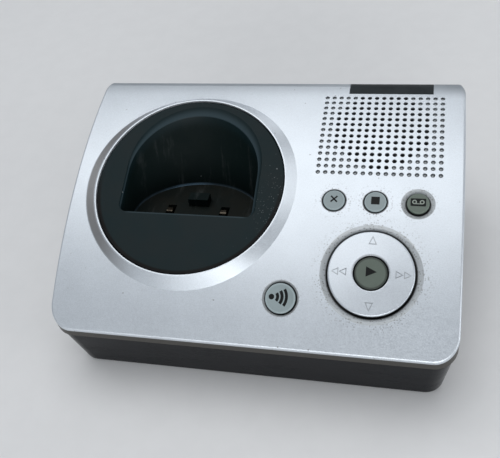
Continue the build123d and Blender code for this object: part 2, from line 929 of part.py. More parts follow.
def dome(plane, top):
    """Silicone dome under one key, carried down into the mat."""
    return plane * (Pos(0, 0, -top) * Cone(dome_base_radius, dome_top_radius, board_depth, align=TOP))


def dome_spots():
    """Frame and top depth of each dome."""
    spots = [(surface_plane(x, key_row_s), key_stem_end) for x in (erase_key_x, stop_key_x, message_key_x)]
    spots.append((surface_plane(locator_key_x, locator_key_s), key_stem_end))
    spots.append((nav_plane, play_stem_end))
    spots = [(plane, depth + key_travel + dome_gap) for plane, depth in spots]
    for dx, dy in ((-1, 0), (1, 0), (0, -1), (0, 1)):
        place = Pos(dx * press_foot_offset, dy * press_foot_offset, 0)
        spots.append((nav_plane * place, press_foot_end + press_travel + dome_gap))
    return spots


def key_mat():
    """Silicone mat with a dome under each key and two pads under the rocker."""
    mat = board_plane() * extrude(board_outline(mat_margin), mat_thickness)
    top_side = half_space(board_plane(), 4 * board_right)
    for plane, top in dome_spots():
        mat += dome(plane, top) & top_side
    for side in (-1, 1):
        middle = side * (pivot_inner + pivot_outer) / 2
        pad_top = lower_pivot - pivot_radius - pivot_gap
        pad = block(pivot_outer - pivot_inner, 2 * pivot_radius, board_depth)
        mat += (nav_plane * Pos(middle, 0, pad_top - board_depth) * pad) & top_side
    for x, y in board_screw_spots:
        mat -= board_plane() * Pos(x, y, 0) * disc(board_boss_radius + mat_boss_gap, 0, mat_thickness)
    lamp_width, lamp_length, lamp_height = lamp_size
    window = block(lamp_width + 2 * mat_lamp_gap, lamp_length + 2 * mat_lamp_gap, lamp_height)
    return mat - lamp_frame() * window


def lamp_frame():
    """Place of the message lamp on the control board, beside the message key."""
    return board_plane() * Pos(message_key_x - lamp_offset, board_chord() / 2 - lamp_setback, 0)


def board_chord():
    """Distance from the locator key to the key row, straight across."""
    return (surface_plane(0, key_row_s).origin - surface_plane(0, locator_key_s).origin).length


def message_lamp():
    """Small surface-mounted lamp under the edge of the message key."""
    return lamp_frame() * block(*lamp_size)


# Speaker
def turned(points):
    """Solid of revolution about the speaker's axis from its section (radius, height)."""
    return revolve(Plane.XZ * make_face(Polyline(*points, close=True)), Axis.Z)


def speaker_frame():
    """Pressed basket with two fixing ears."""
    low = -speaker_drop - speaker_rim_thickness
    neck = magnet_radius + basket_neck_gap
    basket = turned(
        [
            (speaker_opening_radius, -speaker_drop),
            (speaker_radius, -speaker_drop),
            (speaker_radius, low),
            (speaker_opening_radius + basket_wall, low),
            (neck + basket_wall, -speaker_floor - basket_wall),
            (magnet_bore_radius, -speaker_floor - basket_wall),
            (magnet_bore_radius, -speaker_floor),
            (neck, -speaker_floor),
            (speaker_opening_radius, low),
        ]
    )
    reach = speaker_ear_x - speaker_radius + bore_margin
    for side in (-1, 1):
        ear = disc(speaker_ear_radius, low, -speaker_drop)
        ear += block(reach, 2 * speaker_ear_radius, speaker_rim_thickness, -side * reach / 2, 0, low)
        ear -= disc(small_screw_radius + thread_clearance, low, -speaker_drop)
        basket += Pos(side * speaker_ear_x, 0, 0) * ear
    return grille_plane * basket


def speaker_magnet():
    """Ring magnet behind the basket."""
    top = -speaker_floor - basket_wall
    low = top - magnet_thickness
    return grille_plane * (disc(magnet_radius, low, top) - disc(magnet_bore_radius, low, top))


def speaker_yoke():
    """Steel back plate with the centre pole."""
    top = -speaker_floor - basket_wall - magnet_thickness
    plate = disc(magnet_radius - yoke_inset, top - yoke_thickness, top)
    return grille_plane * (plate + disc(pole_radius, top, -speaker_floor + pole_rise))


def speaker_cone():
    """Paper cone with its rolled edge, dust cap and voice coil."""
    rim = -speaker_drop - speaker_rim_thickness / 2
    neck = -speaker_floor + cone_neck_height
    coil_end = -speaker_floor - coil_reach
    cone = turned(
        [
            (cone_rim, rim),
            (cone_rim - cone_edge_width / 2, rim + cone_thickness),
            (cone_rim - cone_edge_width, rim),
            (coil_outer_radius, neck),
            (0, neck + dust_cap_rise),
            (0, neck + dust_cap_rise - cone_thickness),
            (coil_inner_radius, neck - cone_thickness),
            (coil_inner_radius, coil_end),
            (coil_outer_radius, coil_end),
            (coil_outer_radius, neck - cone_thickness),
            (cone_rim - cone_edge_width, rim - cone_thickness),
            (cone_rim, rim - cone_thickness),
        ]
    )
    return grille_plane * cone


def speaker_gasket():
    """Foam ring between the cover and the basket, shaped to the curved cover."""
    ring = disc(speaker_radius, -speaker_drop, 0) - disc(gasket_inner_radius, -speaker_drop, 0)
    return (grille_plane * ring) & cover_block(cover_wall)


def speaker_cloth():
    """Thin black dust cloth stuck behind the perforations."""
    column = grille_plane * disc(cloth_radius, -speaker_drop, 0)
    return (column & cover_block(cover_wall)) - cover_block(cover_wall + cloth_thickness)


# Lower case
def jack_openings():
    """Openings of the rear wall for the two jacks."""
    width = line_jack_width + 2 * panel_gap
    height = line_jack_height + 2 * panel_gap
    line = block(width, panel_cut_length, height, line_jack_x, half_depth, board_top - panel_gap)
    nose = Pos(dc_jack_x, half_depth, dc_axis) * Rot(90, 0, 0)
    return [line, nose * Cylinder(dc_nose_radius + panel_gap, panel_cut_length)]


def lower_case():
    """Black tray with feet recesses, screw wells and standoffs."""
    case = case_block(0, case_ground_gap) - case_block(case_wall, case_inner_floor, bore_margin)
    room = case_block(case_feature_inset, case_ground_gap)
    for x, y, foot in case_screw_spots():
        well = disc(post_radius + well_wall, case_ground_gap, foot)
        case += (Pos(x, y, 0) * well) & room
        case -= Pos(x, y, 0) * disc(post_radius, case_ground_gap, foot - case_screw_web)
        case -= Pos(x, y, 0) * disc(case_screw_radius + thread_clearance, case_ground_gap, foot)
    for x in (-main_screw_x, main_screw_x):
        for y in (main_screw_front_y, main_screw_rear_y):
            standoff = disc(standoff_radius, case_inner_floor - case_floor / 2, main_board_height)
            standoff -= disc(small_screw_radius + screw_fit, case_inner_floor, main_board_height)
            case += Pos(x, y, 0) * standoff
    for x, y in foot_spots():
        case -= Pos(x, y, 0) * disc(foot_radius + foot_recess_gap, 0, foot_height)
    case -= jack_openings()
    return case


def foot_spots():
    """Places of the rubber feet."""
    right = ((front_foot_x, -foot_rear_y), (rear_foot_x, foot_rear_y))
    return [(side * x, y) for side in (-1, 1) for x, y in right]


def rubber_feet():
    """Four stuck-on feet."""
    foot = disc(foot_radius, 0, foot_height)
    foot = fillet(foot.edges().sort_by(Axis.Z)[:1], foot_edge_round)
    return group([Pos(x, y, 0) * foot for x, y in foot_spots()])


# Main board and its parts
def main_board():
    """Printed circuit board on the case standoffs."""
    length = main_board_rear - main_board_front
    middle = (main_board_rear + main_board_front) / 2
    board = block(2 * main_board_x, length, board_thickness, 0, middle, main_board_height)
    for x in (-main_screw_x, main_screw_x):
        for y in (main_screw_front_y, main_screw_rear_y):
            board -= Pos(x, y, 0) * disc(small_screw_radius + thread_clearance, main_board_height, board_top)
    return board


def line_jack():
    """Moulded socket for the telephone line."""
    rear = jack_face_y
    middle = rear - line_jack_length / 2
    body = block(line_jack_width, line_jack_length, line_jack_height, line_jack_x, middle, board_top)
    low = line_cavity_floor()
    cavity = block(line_cavity_width, 2 * line_cavity_depth, line_cavity_height, line_jack_x, rear, low)
    latch_height = line_cavity_height + line_latch_height
    latch = block(line_latch_width, 2 * line_cavity_depth, latch_height, line_jack_x, rear, low)
    return body - cavity - latch


def line_cavity_floor():
    """Height of the line socket's floor, with the cavity and its latch slot centred in the body."""
    return board_top + (line_jack_height - line_cavity_height - line_latch_height) / 2


def line_jack_wires():
    """Four spring wires that lie along the floor of the line socket."""
    length = line_cavity_depth - 2 * line_wire_setback
    middle = jack_face_y - line_cavity_depth / 2
    wires = []
    for i in range(line_wire_count):
        x = line_jack_x + (i - (line_wire_count - 1) / 2) * line_wire_pitch
        wires.append(block(line_wire_size, length, line_wire_size, x, middle, line_cavity_floor()))
    return group(wires)


def dc_jack():
    """Moulded power socket with a round nose."""
    back = jack_face_y - dc_nose_length
    middle = back - dc_jack_length / 2
    body = block(dc_jack_width, dc_jack_length, dc_jack_height, dc_jack_x, middle, board_top)
    nose = Pos(dc_jack_x, jack_face_y - dc_nose_length, dc_axis) * Rot(-90, 0, 0)
    body += nose * Cylinder(dc_nose_radius, dc_nose_length, align=BOTTOM)
    bore = Pos(dc_jack_x, jack_face_y, dc_axis) * Rot(90, 0, 0)
    return body - bore * Cylinder(dc_bore_radius, dc_bore_depth, align=BOTTOM)


def dc_jack_pin():
    """Centre pin of the power socket."""
    pin = Pos(dc_jack_x, jack_face_y - dc_bore_depth, dc_axis) * Rot(-90, 0, 0)
    return pin * Cylinder(dc_pin_radius, dc_bore_depth - dc_pin_setback, align=BOTTOM)


def rf_shield():
    """Tinned can over the radio part of the main board."""
    can = block(shield_width, shield_length, shield_height, shield_x, shield_y, board_top)
    width = shield_width - 2 * shield_wall
    length = shield_length - 2 * shield_wall
    return can - block(width, length, shield_height - shield_wall, shield_x, shield_y, board_top)


def signal_chip():
    """Processor of the answering machine."""
    return block(chip_width, chip_width, chip_height, chip_x, chip_y, board_top)


def line_transformer():
    """Line transformer: a core with its winding."""
    window_width = transformer_width - 2 * core_thickness
    window_height = transformer_height - 2 * core_thickness
    core = block(transformer_width, transformer_length, transformer_height)
    core -= block(window_width, transformer_length, window_height, 0, 0, core_thickness)
    core += disc(winding_radius, core_thickness, core_thickness + window_height)
    return Pos(transformer_x, transformer_y, board_top) * core


def filter_capacitors():
    """Three upright capacitors."""
    can = disc(capacitor_radius, board_top, board_top + capacitor_height)
    spots = [capacitor_rear_y - i * capacitor_pitch for i in range(capacitor_count)]
    return group([Pos(capacitor_x, y, 0) * can for y in spots])


def antenna():
    """Stiff wire aerial at the left rear of the main board."""
    foot = (antenna_x, antenna_y, board_top)
    bend = (antenna_x, antenna_y, board_top + antenna_rise)
    tip = (antenna_x, antenna_tip_y, board_top + antenna_rise + antenna_tip_rise)
    path = FilletPolyline(foot, bend, tip, radius=antenna_bend_radius)
    return sweep(Plane(foot) * Circle(antenna_radius), path=path)


# Ribbon and its sockets
def ribbon_sockets():
    """Sockets on both boards that hold the ribbon."""
    size = (ribbon_width + 2 * socket_wall, socket_length, socket_height)
    upper = board_plane() * block(*size, ribbon_x, ribbon_board_y, -board_thickness - socket_height)
    lower = block(*size, ribbon_x, ribbon_foot_y, board_top)
    return group([upper, lower])


def board_ribbon():
    """Flat flexible cable from the control board to the main board."""
    plane = board_plane()
    start = plane.from_local_coords(Vector(0, ribbon_board_y, -board_thickness - socket_height))
    lead = start - plane.z_dir * ribbon_lead
    points = [
        (start.Y, start.Z),
        (lead.Y, lead.Z),
        (ribbon_foot_y, board_top + socket_height + ribbon_foot_lead),
        (ribbon_foot_y, board_top + socket_height),
    ]
    path = FilletPolyline(*points, radius=ribbon_bend_radius)
    strip = Plane.YZ * trace(path, ribbon_thickness)
    return Pos(ribbon_x, 0, 0) * extrude(strip, ribbon_width / 2, both=True)


# Fasteners
def pan_screw(head_radius, head_height, radius, length):
    """Cross-head screw that points up, with the underside of its head at zero."""
    screw = disc(head_radius, -head_height, 0)
    screw = fillet(screw.edges().sort_by(Axis.Z)[:1], head_height * head_round_share)
    screw += disc(radius, 0, length)
    slot_length = head_radius * slot_length_share
    slot_width = head_radius * slot_width_share
    slot = Pos(0, 0, -head_height) * block(slot_length, slot_width, head_height * slot_depth_share)
    return screw - slot - Rot(0, 0, 90) * slot


def case_screws():
    """Four screws that hold the case to the cover posts."""
    radius = case_screw_radius - 2 * screw_fit
    screw = pan_screw(case_head_radius, case_head_height, radius, case_screw_length)
    return group([Pos(x, y, foot - case_screw_web) * screw for x, y, foot in case_screw_spots()])


def small_screw(length):
    """Screw of the boards, the cradle and the speaker."""
    return pan_screw(small_head_radius, small_head_height, small_screw_radius, length)


def control_board_screws():
    """Screws of the control board, from below."""
    screw = small_screw(small_screw_length)
    return group([board_plane() * Pos(x, y, -board_thickness) * screw for x, y in board_screw_spots])


def main_board_screws():
    """Screws of the main board, from above."""
    screw = Rot(180, 0, 0) * small_screw(main_screw_length)
    spots = [(x, y) for x in (-main_screw_x, main_screw_x) for y in (main_screw_front_y, main_screw_rear_y)]
    return group([Pos(x, y, board_top) * screw for x, y in spots])


def cradle_screws():
    """Screws of the cradle's ears, from below."""
    screw = small_screw(cradle_screw_length)
    return group([place * Pos(0, 0, -skirt_depth) * screw for place in ear_locations()])


def speaker_screws():
    """Screws of the speaker's ears, from below."""
    low = -speaker_drop - speaker_rim_thickness
    screw = small_screw(speaker_screw_length)
    return group([grille_plane * Pos(side * speaker_ear_x, 0, low) * screw for side in (-1, 1)])


# Every node by its name
nodes = {
    "top_cover": top_cover,
    "rear_label": rear_label,
    "cradle_insert": cradle_insert,
    "charge_contact_left": lambda: charge_contact(-1),
    "charge_contact_right": lambda: charge_contact(1),
    "contact_holder": contact_holder,
    "erase_key": lambda: small_key(erase_key_x),
    "stop_key": lambda: small_key(stop_key_x),
    "message_key": lambda: small_key(message_key_x),
    "locator_key": locator_key,
    "play_key": play_key,
    "nav_ring": nav_ring,
    "nav_rocker": nav_rocker,
    "key_mat": key_mat,
    "control_board": control_board,
    "message_lamp": message_lamp,
    "speaker_frame": speaker_frame,
    "speaker_magnet": speaker_magnet,
    "speaker_yoke": speaker_yoke,
    "speaker_cone": speaker_cone,
    "speaker_gasket": speaker_gasket,
    "speaker_cloth": speaker_cloth,
    "lower_case": lower_case,
    "rubber_feet": rubber_feet,
    "main_board": main_board,
    "line_jack": line_jack,
    "line_jack_wires": line_jack_wires,
    "dc_jack": dc_jack,
    "dc_jack_pin": dc_jack_pin,
    "rf_shield": rf_shield,
    "signal_chip": signal_chip,
    "line_transformer": line_transformer,
    "filter_capacitors": filter_capacitors,
    "antenna": antenna,
    "board_ribbon": board_ribbon,
    "ribbon_sockets": ribbon_sockets,
    "case_screws": case_screws,
    "control_board_screws": control_board_screws,
    "main_board_screws": main_board_screws,
    "cradle_screws": cradle_screws,
    "speaker_screws": speaker_screws,
}
for name, make in nodes.items():
    save(name, make())
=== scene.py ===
import math

import bmesh
import bpy
from mathutils import Matrix, Vector


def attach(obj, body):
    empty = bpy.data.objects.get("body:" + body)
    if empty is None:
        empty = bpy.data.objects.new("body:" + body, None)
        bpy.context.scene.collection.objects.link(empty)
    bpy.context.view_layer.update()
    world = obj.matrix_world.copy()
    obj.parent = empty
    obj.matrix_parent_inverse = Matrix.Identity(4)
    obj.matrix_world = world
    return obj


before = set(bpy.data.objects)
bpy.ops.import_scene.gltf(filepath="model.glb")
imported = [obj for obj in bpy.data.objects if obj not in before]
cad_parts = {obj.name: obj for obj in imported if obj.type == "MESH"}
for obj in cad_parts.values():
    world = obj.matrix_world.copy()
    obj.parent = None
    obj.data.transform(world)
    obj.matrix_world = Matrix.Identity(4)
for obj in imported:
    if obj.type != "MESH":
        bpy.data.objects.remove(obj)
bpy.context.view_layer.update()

# Top cover
# The upper half: a moulded shell with a raised collar, a punched speaker grille and openings for the keys.
# It clips over the black lower case. Its silver paint has fine flakes, is worn grey in the dishes and is
# specked with dirt round the keys. Painted shade darkens its pits and holes, its front lip, its rear edge,
# the collar's left flank and the gaps round the keys.
front_edge_y = -0.0536
front_edge_height = 0.028
front_slope = math.radians(33)
top_radius = 0.2113
arc_y = front_edge_y + top_radius * math.sin(front_slope)
arc_z = front_edge_height - top_radius * math.cos(front_slope)
rear_edge_y = 0.0536
half_width = 0.07425
collar_inner_radius = 0.0372
collar_outer_radius = 0.0413
grille_x = 0.04385
grille_middle = Matrix.Translation((grille_x, 0.0242, 0.06))
grille_half_size = (0.0229, 0.0187, 1.0)


def cover_place(x, s):
    """Frame on the curved top: x across, s along it from the front edge, with z out of the cover."""
    slope = front_slope - s / top_radius
    spot = Vector((x, arc_y - top_radius * math.sin(slope), arc_z + top_radius * math.cos(slope)))
    return Matrix.Translation(spot) @ Matrix.Rotation(slope, 4, "X")


cradle_place = cover_place(-0.0269, 0.05905)
control_places = {
    "ring": cover_place(0.0438, 0.0282),
    "message": cover_place(0.0585, 0.0547),
    "locator": cover_place(0.0131, 0.0174),
    "erase": cover_place(0.0289, 0.0547),
    "stop": cover_place(0.04365, 0.0547),
}


class Nodes:
    """A tree of nodes that is built up sum by sum."""

    def add(self, kind, values=(), family="ShaderNode", **settings):
        """A node with its settings, and values or links by input name or number."""
        node = self.tree.nodes.new(family + kind)
        for label, value in settings.items():
            setattr(node, label, value)
        for label, value in dict(values).items():
            if isinstance(value, bpy.types.NodeSocket):
                self.tree.links.new(value, node.inputs[label])
            else:
                node.inputs[label].default_value = value
        return node

    def math(self, operation, first, second=0.0, third=0.0):
        """Result of one sum."""
        return self.add("Math", {0: first, 1: second, 2: third}, operation=operation).outputs[0]

    def times(self, *values):
        """Product of several results."""
        product = values[0]
        for value in values[1:]:
            product = self.math("MULTIPLY", product, value)
        return product

    def most(self, *values):
        """Largest of several results."""
        best = values[0]
        for value in values[1:]:
            best = self.math("MAXIMUM", best, value)
        return best

    def vector(self, x=0.0, y=0.0, z=0.0):
        """A vector of three results."""
        return self.add("CombineXYZ", {0: x, 1: y, 2: z}).outputs[0]

    def split(self, vector):
        """The three parts of a vector."""
        return self.add("SeparateXYZ", {0: vector}).outputs

    def length(self, vector, axes=(1, 1, 0)):
        """Length of a vector over some axes, or else its distance from the z axis."""
        flat = self.add("VectorMath", {0: vector, 1: axes}, operation="MULTIPLY").outputs[0]
        return self.add("VectorMath", {0: flat}, operation="LENGTH").outputs["Value"]


class Finish(Nodes):
    """One material of the unit, with the nodes that vary it over the surface."""

    def __init__(self, name, **plain):
        self.material = bpy.data.materials.new(name)
        self.material.use_nodes = True
        self.tree = self.material.node_tree
        self.shader = self.tree.nodes["Principled BSDF"]
        for label, value in plain.items():
            self.shader.inputs[label.replace("_", " ")].default_value = value
        self.place = self.tree.nodes.new("ShaderNodeTexCoord").outputs["Object"]

    def effect(self, group, **values):
        """Results of one of the shared effects, placed in this material with its own values."""
        values.setdefault("Place", self.place)
        return self.add("Group", values, node_tree=group).outputs

    def around(self, place, scale=(1, 1, 1)):
        """Object coordinates as seen from a frame on the cover."""
        spot = {"Vector": self.place, "Location": place.to_translation(), "Rotation": place.to_euler("XYZ"),
                "Scale": scale}
        return self.add("Mapping", spot, vector_type="TEXTURE").outputs[0]

    def scaled(self, vector, scale):
        """Coordinates drawn out or pressed together along each axis."""
        return self.add("Mapping", {"Vector": vector, "Scale": scale}).outputs[0]

    def noise(self, vector, scale, detail=3.0, roughness=0.5):
        """Slow or fine cloud over the surface."""
        values = {"Vector": vector, "Scale": scale, "Detail": detail, "Roughness": roughness}
        return self.add("TexNoise", values).outputs[0]

    def band(self, value, low, high, low_end=0.0, high_end=1.0):
        """Value eased from one end to the other between two limits."""
        limits = {"Value": value, "From Min": low, "From Max": high, "To Min": low_end, "To Max": high_end}
        return self.add("MapRange", limits, interpolation_type="SMOOTHSTEP").outputs[0]

    def follow(self, cloud, low_end, high_end):
        """Value that follows a cloud from one end to the other, over the range where most of it lies."""
        return self.band(cloud, 0.3, 0.7, low_end, high_end)

    def ridge(self, value, start, top_start, top_end, end):
        """Mask that rises to one between two limits, and falls again between two more."""
        return self.times(self.band(value, start, top_start), self.band(value, end, top_end))

    def blend(self, share, low, high):
        """Mix of two colours."""
        return self.add("Mix", {0: share, 6: low, 7: high}, data_type="RGBA").outputs[2]

    def layered(self, colour, *layers):
        """A colour under others, each laid on by a mask and its strength."""
        for mask, strength, tone in layers:
            colour = self.blend(self.times(mask, strength), colour, tone)
        return colour

    def relief(self, height, depth):
        """Normal of a surface with this height on it."""
        return self.add("Bump", {"Height": height, "Distance": depth}).outputs[0]

    def surface(self, **links):
        """Links results to the shader, and gives the finished material."""
        for label, output in links.items():
            self.tree.links.new(output, self.shader.inputs[label.replace("_", " ")])
        return self.material


class Effect(Finish):
    """A shared effect: a node group with named inputs and outputs."""

    def __init__(self, name, **inputs):
        self.tree = bpy.data.node_groups.new(name, "ShaderNodeTree")
        self.tree.interface.new_socket("Place", in_out="INPUT", socket_type="NodeSocketVector")
        for label, value in inputs.items():
            kind = "NodeSocketColor" if isinstance(value, tuple) else "NodeSocketFloat"
            socket = self.tree.interface.new_socket(label, in_out="INPUT", socket_type=kind)
            socket.default_value = value
        self.given = self.tree.nodes.new("NodeGroupInput").outputs
        self.place = self.given["Place"]

    def give(self, **outputs):
        """Sets the results of the group."""
        for label in outputs:
            kind = "NodeSocketColor" if label == "Colour" else "NodeSocketFloat"
            self.tree.interface.new_socket(label, in_out="OUTPUT", socket_type=kind)
        end = self.tree.nodes.new("NodeGroupOutput")
        for label, output in outputs.items():
            self.tree.links.new(output, end.inputs[label])
        return self.tree

    def cells(self, size):
        """Random cells of the given size."""
        scale = self.math("DIVIDE", 1.0, size)
        return self.add("TexVoronoi", {"Vector": self.place, "Scale": scale}).outputs

    def shaded(self, colour, gain):
        """A colour made lighter or darker."""
        return self.add("VectorMath", {0: colour, 3: gain}, operation="SCALE").outputs[0]


def make_paint_flakes():
    """Metal flakes in a clear paint: tiny cells that differ in shade and in gloss."""
    effect = Effect("paint_flakes", Tone=(0.6, 0.6, 0.6, 1), Size=0.0002, Contrast=0.1)
    cells = effect.cells(effect.given["Size"])
    shade = effect.add("SeparateColor", {0: cells["Color"]}).outputs[0]
    drift = effect.follow(effect.noise(effect.place, scale=55.0, detail=4.0), -0.35, 0.35)
    spread = effect.math("MULTIPLY_ADD", shade, 2.0, -1.0)
    both = effect.math("ADD", spread, drift)
    gain = effect.math("MULTIPLY_ADD", both, effect.given["Contrast"], 1.0)
    return effect.give(Colour=effect.shaded(effect.given["Tone"], gain), Flake=shade)


def make_dirt_specks():
    """Sparse specks of dirt or dust: a mask of small uneven dots."""
    effect = Effect("dirt_specks", Pitch=0.002, Size=0.15, Share=0.2)
    cells = effect.cells(effect.given["Pitch"])
    wobble = effect.noise(effect.place, scale=2500.0, detail=2.0)
    chance = effect.add("SeparateColor", {0: cells["Color"]}).outputs[1]
    chosen = effect.math("LESS_THAN", chance, effect.given["Share"])
    reach = effect.times(wobble, effect.given["Size"], 2.0)
    dot = effect.band(cells["Distance"], reach, 0.0)
    return effect.give(Mask=effect.times(dot, chosen))


def make_mould_grain():
    """Fine grain of a moulded plastic: a slow drift of shade and a fine height."""
    effect = Effect("mould_grain", Tone=(0.1, 0.1, 0.1, 1), Size=0.0003, Variation=0.1)
    fine = effect.noise(effect.place, scale=effect.math("DIVIDE", 1.0, effect.given["Size"]))
    cloud = effect.noise(effect.place, scale=90.0, detail=5.0, roughness=0.6)
    gain = effect.math("MULTIPLY_ADD", effect.follow(cloud, -1.0, 1.0), effect.given["Variation"], 1.0)
    return effect.give(Colour=effect.shaded(effect.given["Tone"], gain), Height=fine, Cloud=cloud)


paint_flakes = make_paint_flakes()
dirt_specks = make_dirt_specks()
mould_grain = make_mould_grain()

silver = (0.60, 0.645, 0.69, 1)
worn_silver = (0.44, 0.465, 0.475, 1)
edge_shade = (0.042, 0.036, 0.027, 1)
rear_shade = (0.2, 0.225, 0.25, 1)
flank_shade = (0.17, 0.15, 0.135, 1)
gap_shade = (0.025, 0.027, 0.028, 1)
# Dark grey of the dirt specks on the caps, and of the painted shade in the cover's pits and holes.
grime_and_shade = (0.10, 0.10, 0.10, 1)
speck_brown = (0.13, 0.12, 0.11, 1)
flake_size = 0.00022
flake_depth = 0.000004
# How far from each control its dish, its gap and the dirt round it start, and where they are full.
dish_edges = {"ring": (0.01785, 0.0176), "message": (0.006, 0.0058), "locator": (0.0067, 0.0065)}
gap_edges = {"erase": (0.0048, 0.0044), "stop": (0.0048, 0.0044), "message": (0.0047, 0.0043),
             "locator": (0.0060, 0.0058), "ring": (0.0161, 0.0156)}
dirt_edges = {"ring": (0.024, 0.015), "erase": (0.009, 0.0035), "stop": (0.009, 0.0035),
              "message": (0.009, 0.0035), "locator": (0.009, 0.0035)}
# How far below the top's curve, in from an edge or across the collar each shade starts, and where it is full.
pit_start, pit_full = 0.0002, 0.0005
lip_start, lip_full = 0.0008, 0.0012
lip_far, lip_near = 0.009, 0.006
rear_far, rear_near = 0.0125, 0.004
corner_far, corner_near = 0.03, 0.002
collar_round = 0.0004
collar_bevel = 0.0012
flank_start_x, flank_full_x = -0.012, -0.034


def make_silver_paint():
    """Silver paint of the cover, from its flakes up to the dirt and the shade on it."""
    finish = Finish("silver_paint")
    flakes = finish.effect(paint_flakes, Tone=silver, Size=flake_size, Contrast=0.07)
    reach = {name: finish.length(finish.around(place)) for name, place in control_places.items()}

    def round_spots(edges):
        """Mask of round places at the named controls."""
        return finish.most(*[finish.band(reach[name], *ends) for name, ends in edges.items()])

    dishes = round_spots(dish_edges)
    cloud = finish.noise(finish.place, scale=900.0, detail=5.0)
    worn = finish.times(dishes, finish.band(cloud, 0.35, 0.75, 0.7, 1.0))
    across, along, _ = finish.split(finish.place)
    from_arc = {0: finish.place, 1: (0, arc_y, arc_z)}
    level = finish.length(finish.add("VectorMath", from_arc, operation="SUBTRACT").outputs[0], (0, 1, 1))
    sunk = finish.band(level, top_radius - pit_start, top_radius - pit_full)
    grille = finish.split(finish.around(grille_middle, grille_half_size))
    wide = finish.most(finish.math("ABSOLUTE", grille[0]), finish.math("ABSOLUTE", grille[1]))
    # Painted shade in the grille's pits and holes, wherever the surface lies below the top's curve.
    pit_shade = finish.times(sunk, finish.math("LESS_THAN", wide, 1.0))

    near = finish.effect(dirt_specks, Pitch=0.00075, Size=0.55, Share=0.5)["Mask"]
    sparse = finish.effect(dirt_specks, Pitch=0.0042, Size=0.1, Share=0.35)["Mask"]
    specks = finish.most(finish.times(near, round_spots(dirt_edges)), sparse)

    lip = finish.times(finish.band(level, top_radius - lip_start, top_radius - lip_full),
                       finish.band(along, front_edge_y + lip_far, front_edge_y + lip_near))
    rear = finish.times(finish.band(along, rear_edge_y - rear_far, rear_edge_y - rear_near, 0.0, 0.85),
                        finish.band(across, half_width - corner_far, half_width - corner_near, 0.5, 1.0))
    cradle = finish.around(cradle_place)
    flank = finish.ridge(finish.length(cradle), collar_inner_radius + collar_round,
                         collar_inner_radius + collar_bevel, collar_outer_radius - collar_round,
                         collar_outer_radius + collar_round)
    left = finish.band(finish.split(cradle)[0], flank_start_x, flank_full_x)
    colour = finish.layered(
        flakes["Colour"],
        (worn, 1.0, worn_silver),
        (pit_shade, 0.8, grime_and_shade),
        (specks, 0.85, speck_brown),
        (lip, 0.95, edge_shade),
        (rear, 1.0, rear_shade),
        (finish.times(flank, left), 0.7, flank_shade),
        (round_spots(gap_edges), 0.85, gap_shade),
    )
    gloss = finish.band(flakes["Flake"], 0.0, 1.0, 0.36, 0.5)
    rough = finish.math("MULTIPLY_ADD", dishes, 0.1, gloss)
    metal = finish.band(dishes, 0.0, 1.0, 0.66, 0.35)
    normal = finish.relief(flakes["Flake"], flake_depth)
    return finish.surface(Base_Color=colour, Roughness=rough, Metallic=metal, Normal=normal)


def dress(material, *nodes):
    """Gives CAD nodes their real finish."""
    for node in nodes:
        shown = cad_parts[node]
        shown.data.materials.clear()
        shown.data.materials.append(material)


dress(make_silver_paint(), "top_cover")

# Blind perforations
# Outside the speaker the grille's pattern goes on as shallow pits. Each has a low button in its floor, left
# by the pin that forms it, which the paint covers.
pit_columns = 17
pit_rows = 14
pit_pitch = 0.00275
pit_first_s = 0.06625
pit_depth = 0.0007
speaker_row = 7.5
speaker_s = pit_first_s + speaker_row * pit_pitch
open_radius = 0.0183
button_radius = 0.00052
button_rise = 0.0002
button_root = 0.0001
# Where a button's side ends and its crown begins, as shares of its rise and its radius.
side_rise, crown_rise, crown_radius = 0.4, 0.9, 0.6
button_steps = 12
# The buttons' paint is the silver darkened: a painted shade of the pits they sit in.
shaded_pit_paint = (0.3, 0.32, 0.33, 1)


class Shaper(Nodes):
    """A geometry node tree that is built up, and then run once to give a plain mesh."""

    def __init__(self, name, **inputs):
        self.tree = bpy.data.node_groups.new(name, "GeometryNodeTree")
        self.tree.is_modifier = True
        self.tree.interface.new_socket("Geometry", in_out="OUTPUT", socket_type="NodeSocketGeometry")
        self.values = {}
        for label, value in inputs.items():
            kind = "NodeSocketInt" if isinstance(value, int) else "NodeSocketFloat"
            socket = self.tree.interface.new_socket(label, in_out="INPUT", socket_type=kind)
            self.values[socket.identifier] = value
        self.given = self.tree.nodes.new("NodeGroupInput").outputs
        self.end = self.tree.nodes.new("NodeGroupOutput")

    def form(self, kind, values=()):
        """Results of a geometry node, by the last part of its name."""
        return self.add(kind, values, "GeometryNode").outputs

    def position(self):
        """The three parts of each point's place."""
        return self.split(self.form("InputPosition")[0])

    def make(self, name, instances, material):
        """Runs the tree and gives its result as a plain piece."""
        real = self.form("RealizeInstances", {0: instances})[0]
        dressed = self.form("SetMaterial", {"Geometry": real, "Material": material})[0]
        self.tree.links.new(dressed, self.end.inputs[0])
        blank = place_piece(name + "_start", bpy.data.meshes.new(name + "_start"))
        modifier = blank.modifiers.new("shape", "NODES")
        modifier.node_group = self.tree
        for identifier, value in self.values.items():
            modifier[identifier] = value
        shown = blank.evaluated_get(bpy.context.evaluated_depsgraph_get())
        mesh = bpy.data.meshes.new_from_object(shown)
        bpy.data.objects.remove(blank)
        return place_piece(name, mesh)


def place_piece(name, mesh):
    """An object at the origin that shows a finished mesh."""
    mesh.name = name
    piece = bpy.data.objects.new(name, mesh)
    bpy.context.scene.collection.objects.link(piece)
    return piece


def finished_mesh(name, work, material):
    """Mesh of a shape that was built face by face."""
    mesh = bpy.data.meshes.new(name)
    work.to_mesh(mesh)
    work.free()
    mesh.materials.append(material)
    return mesh


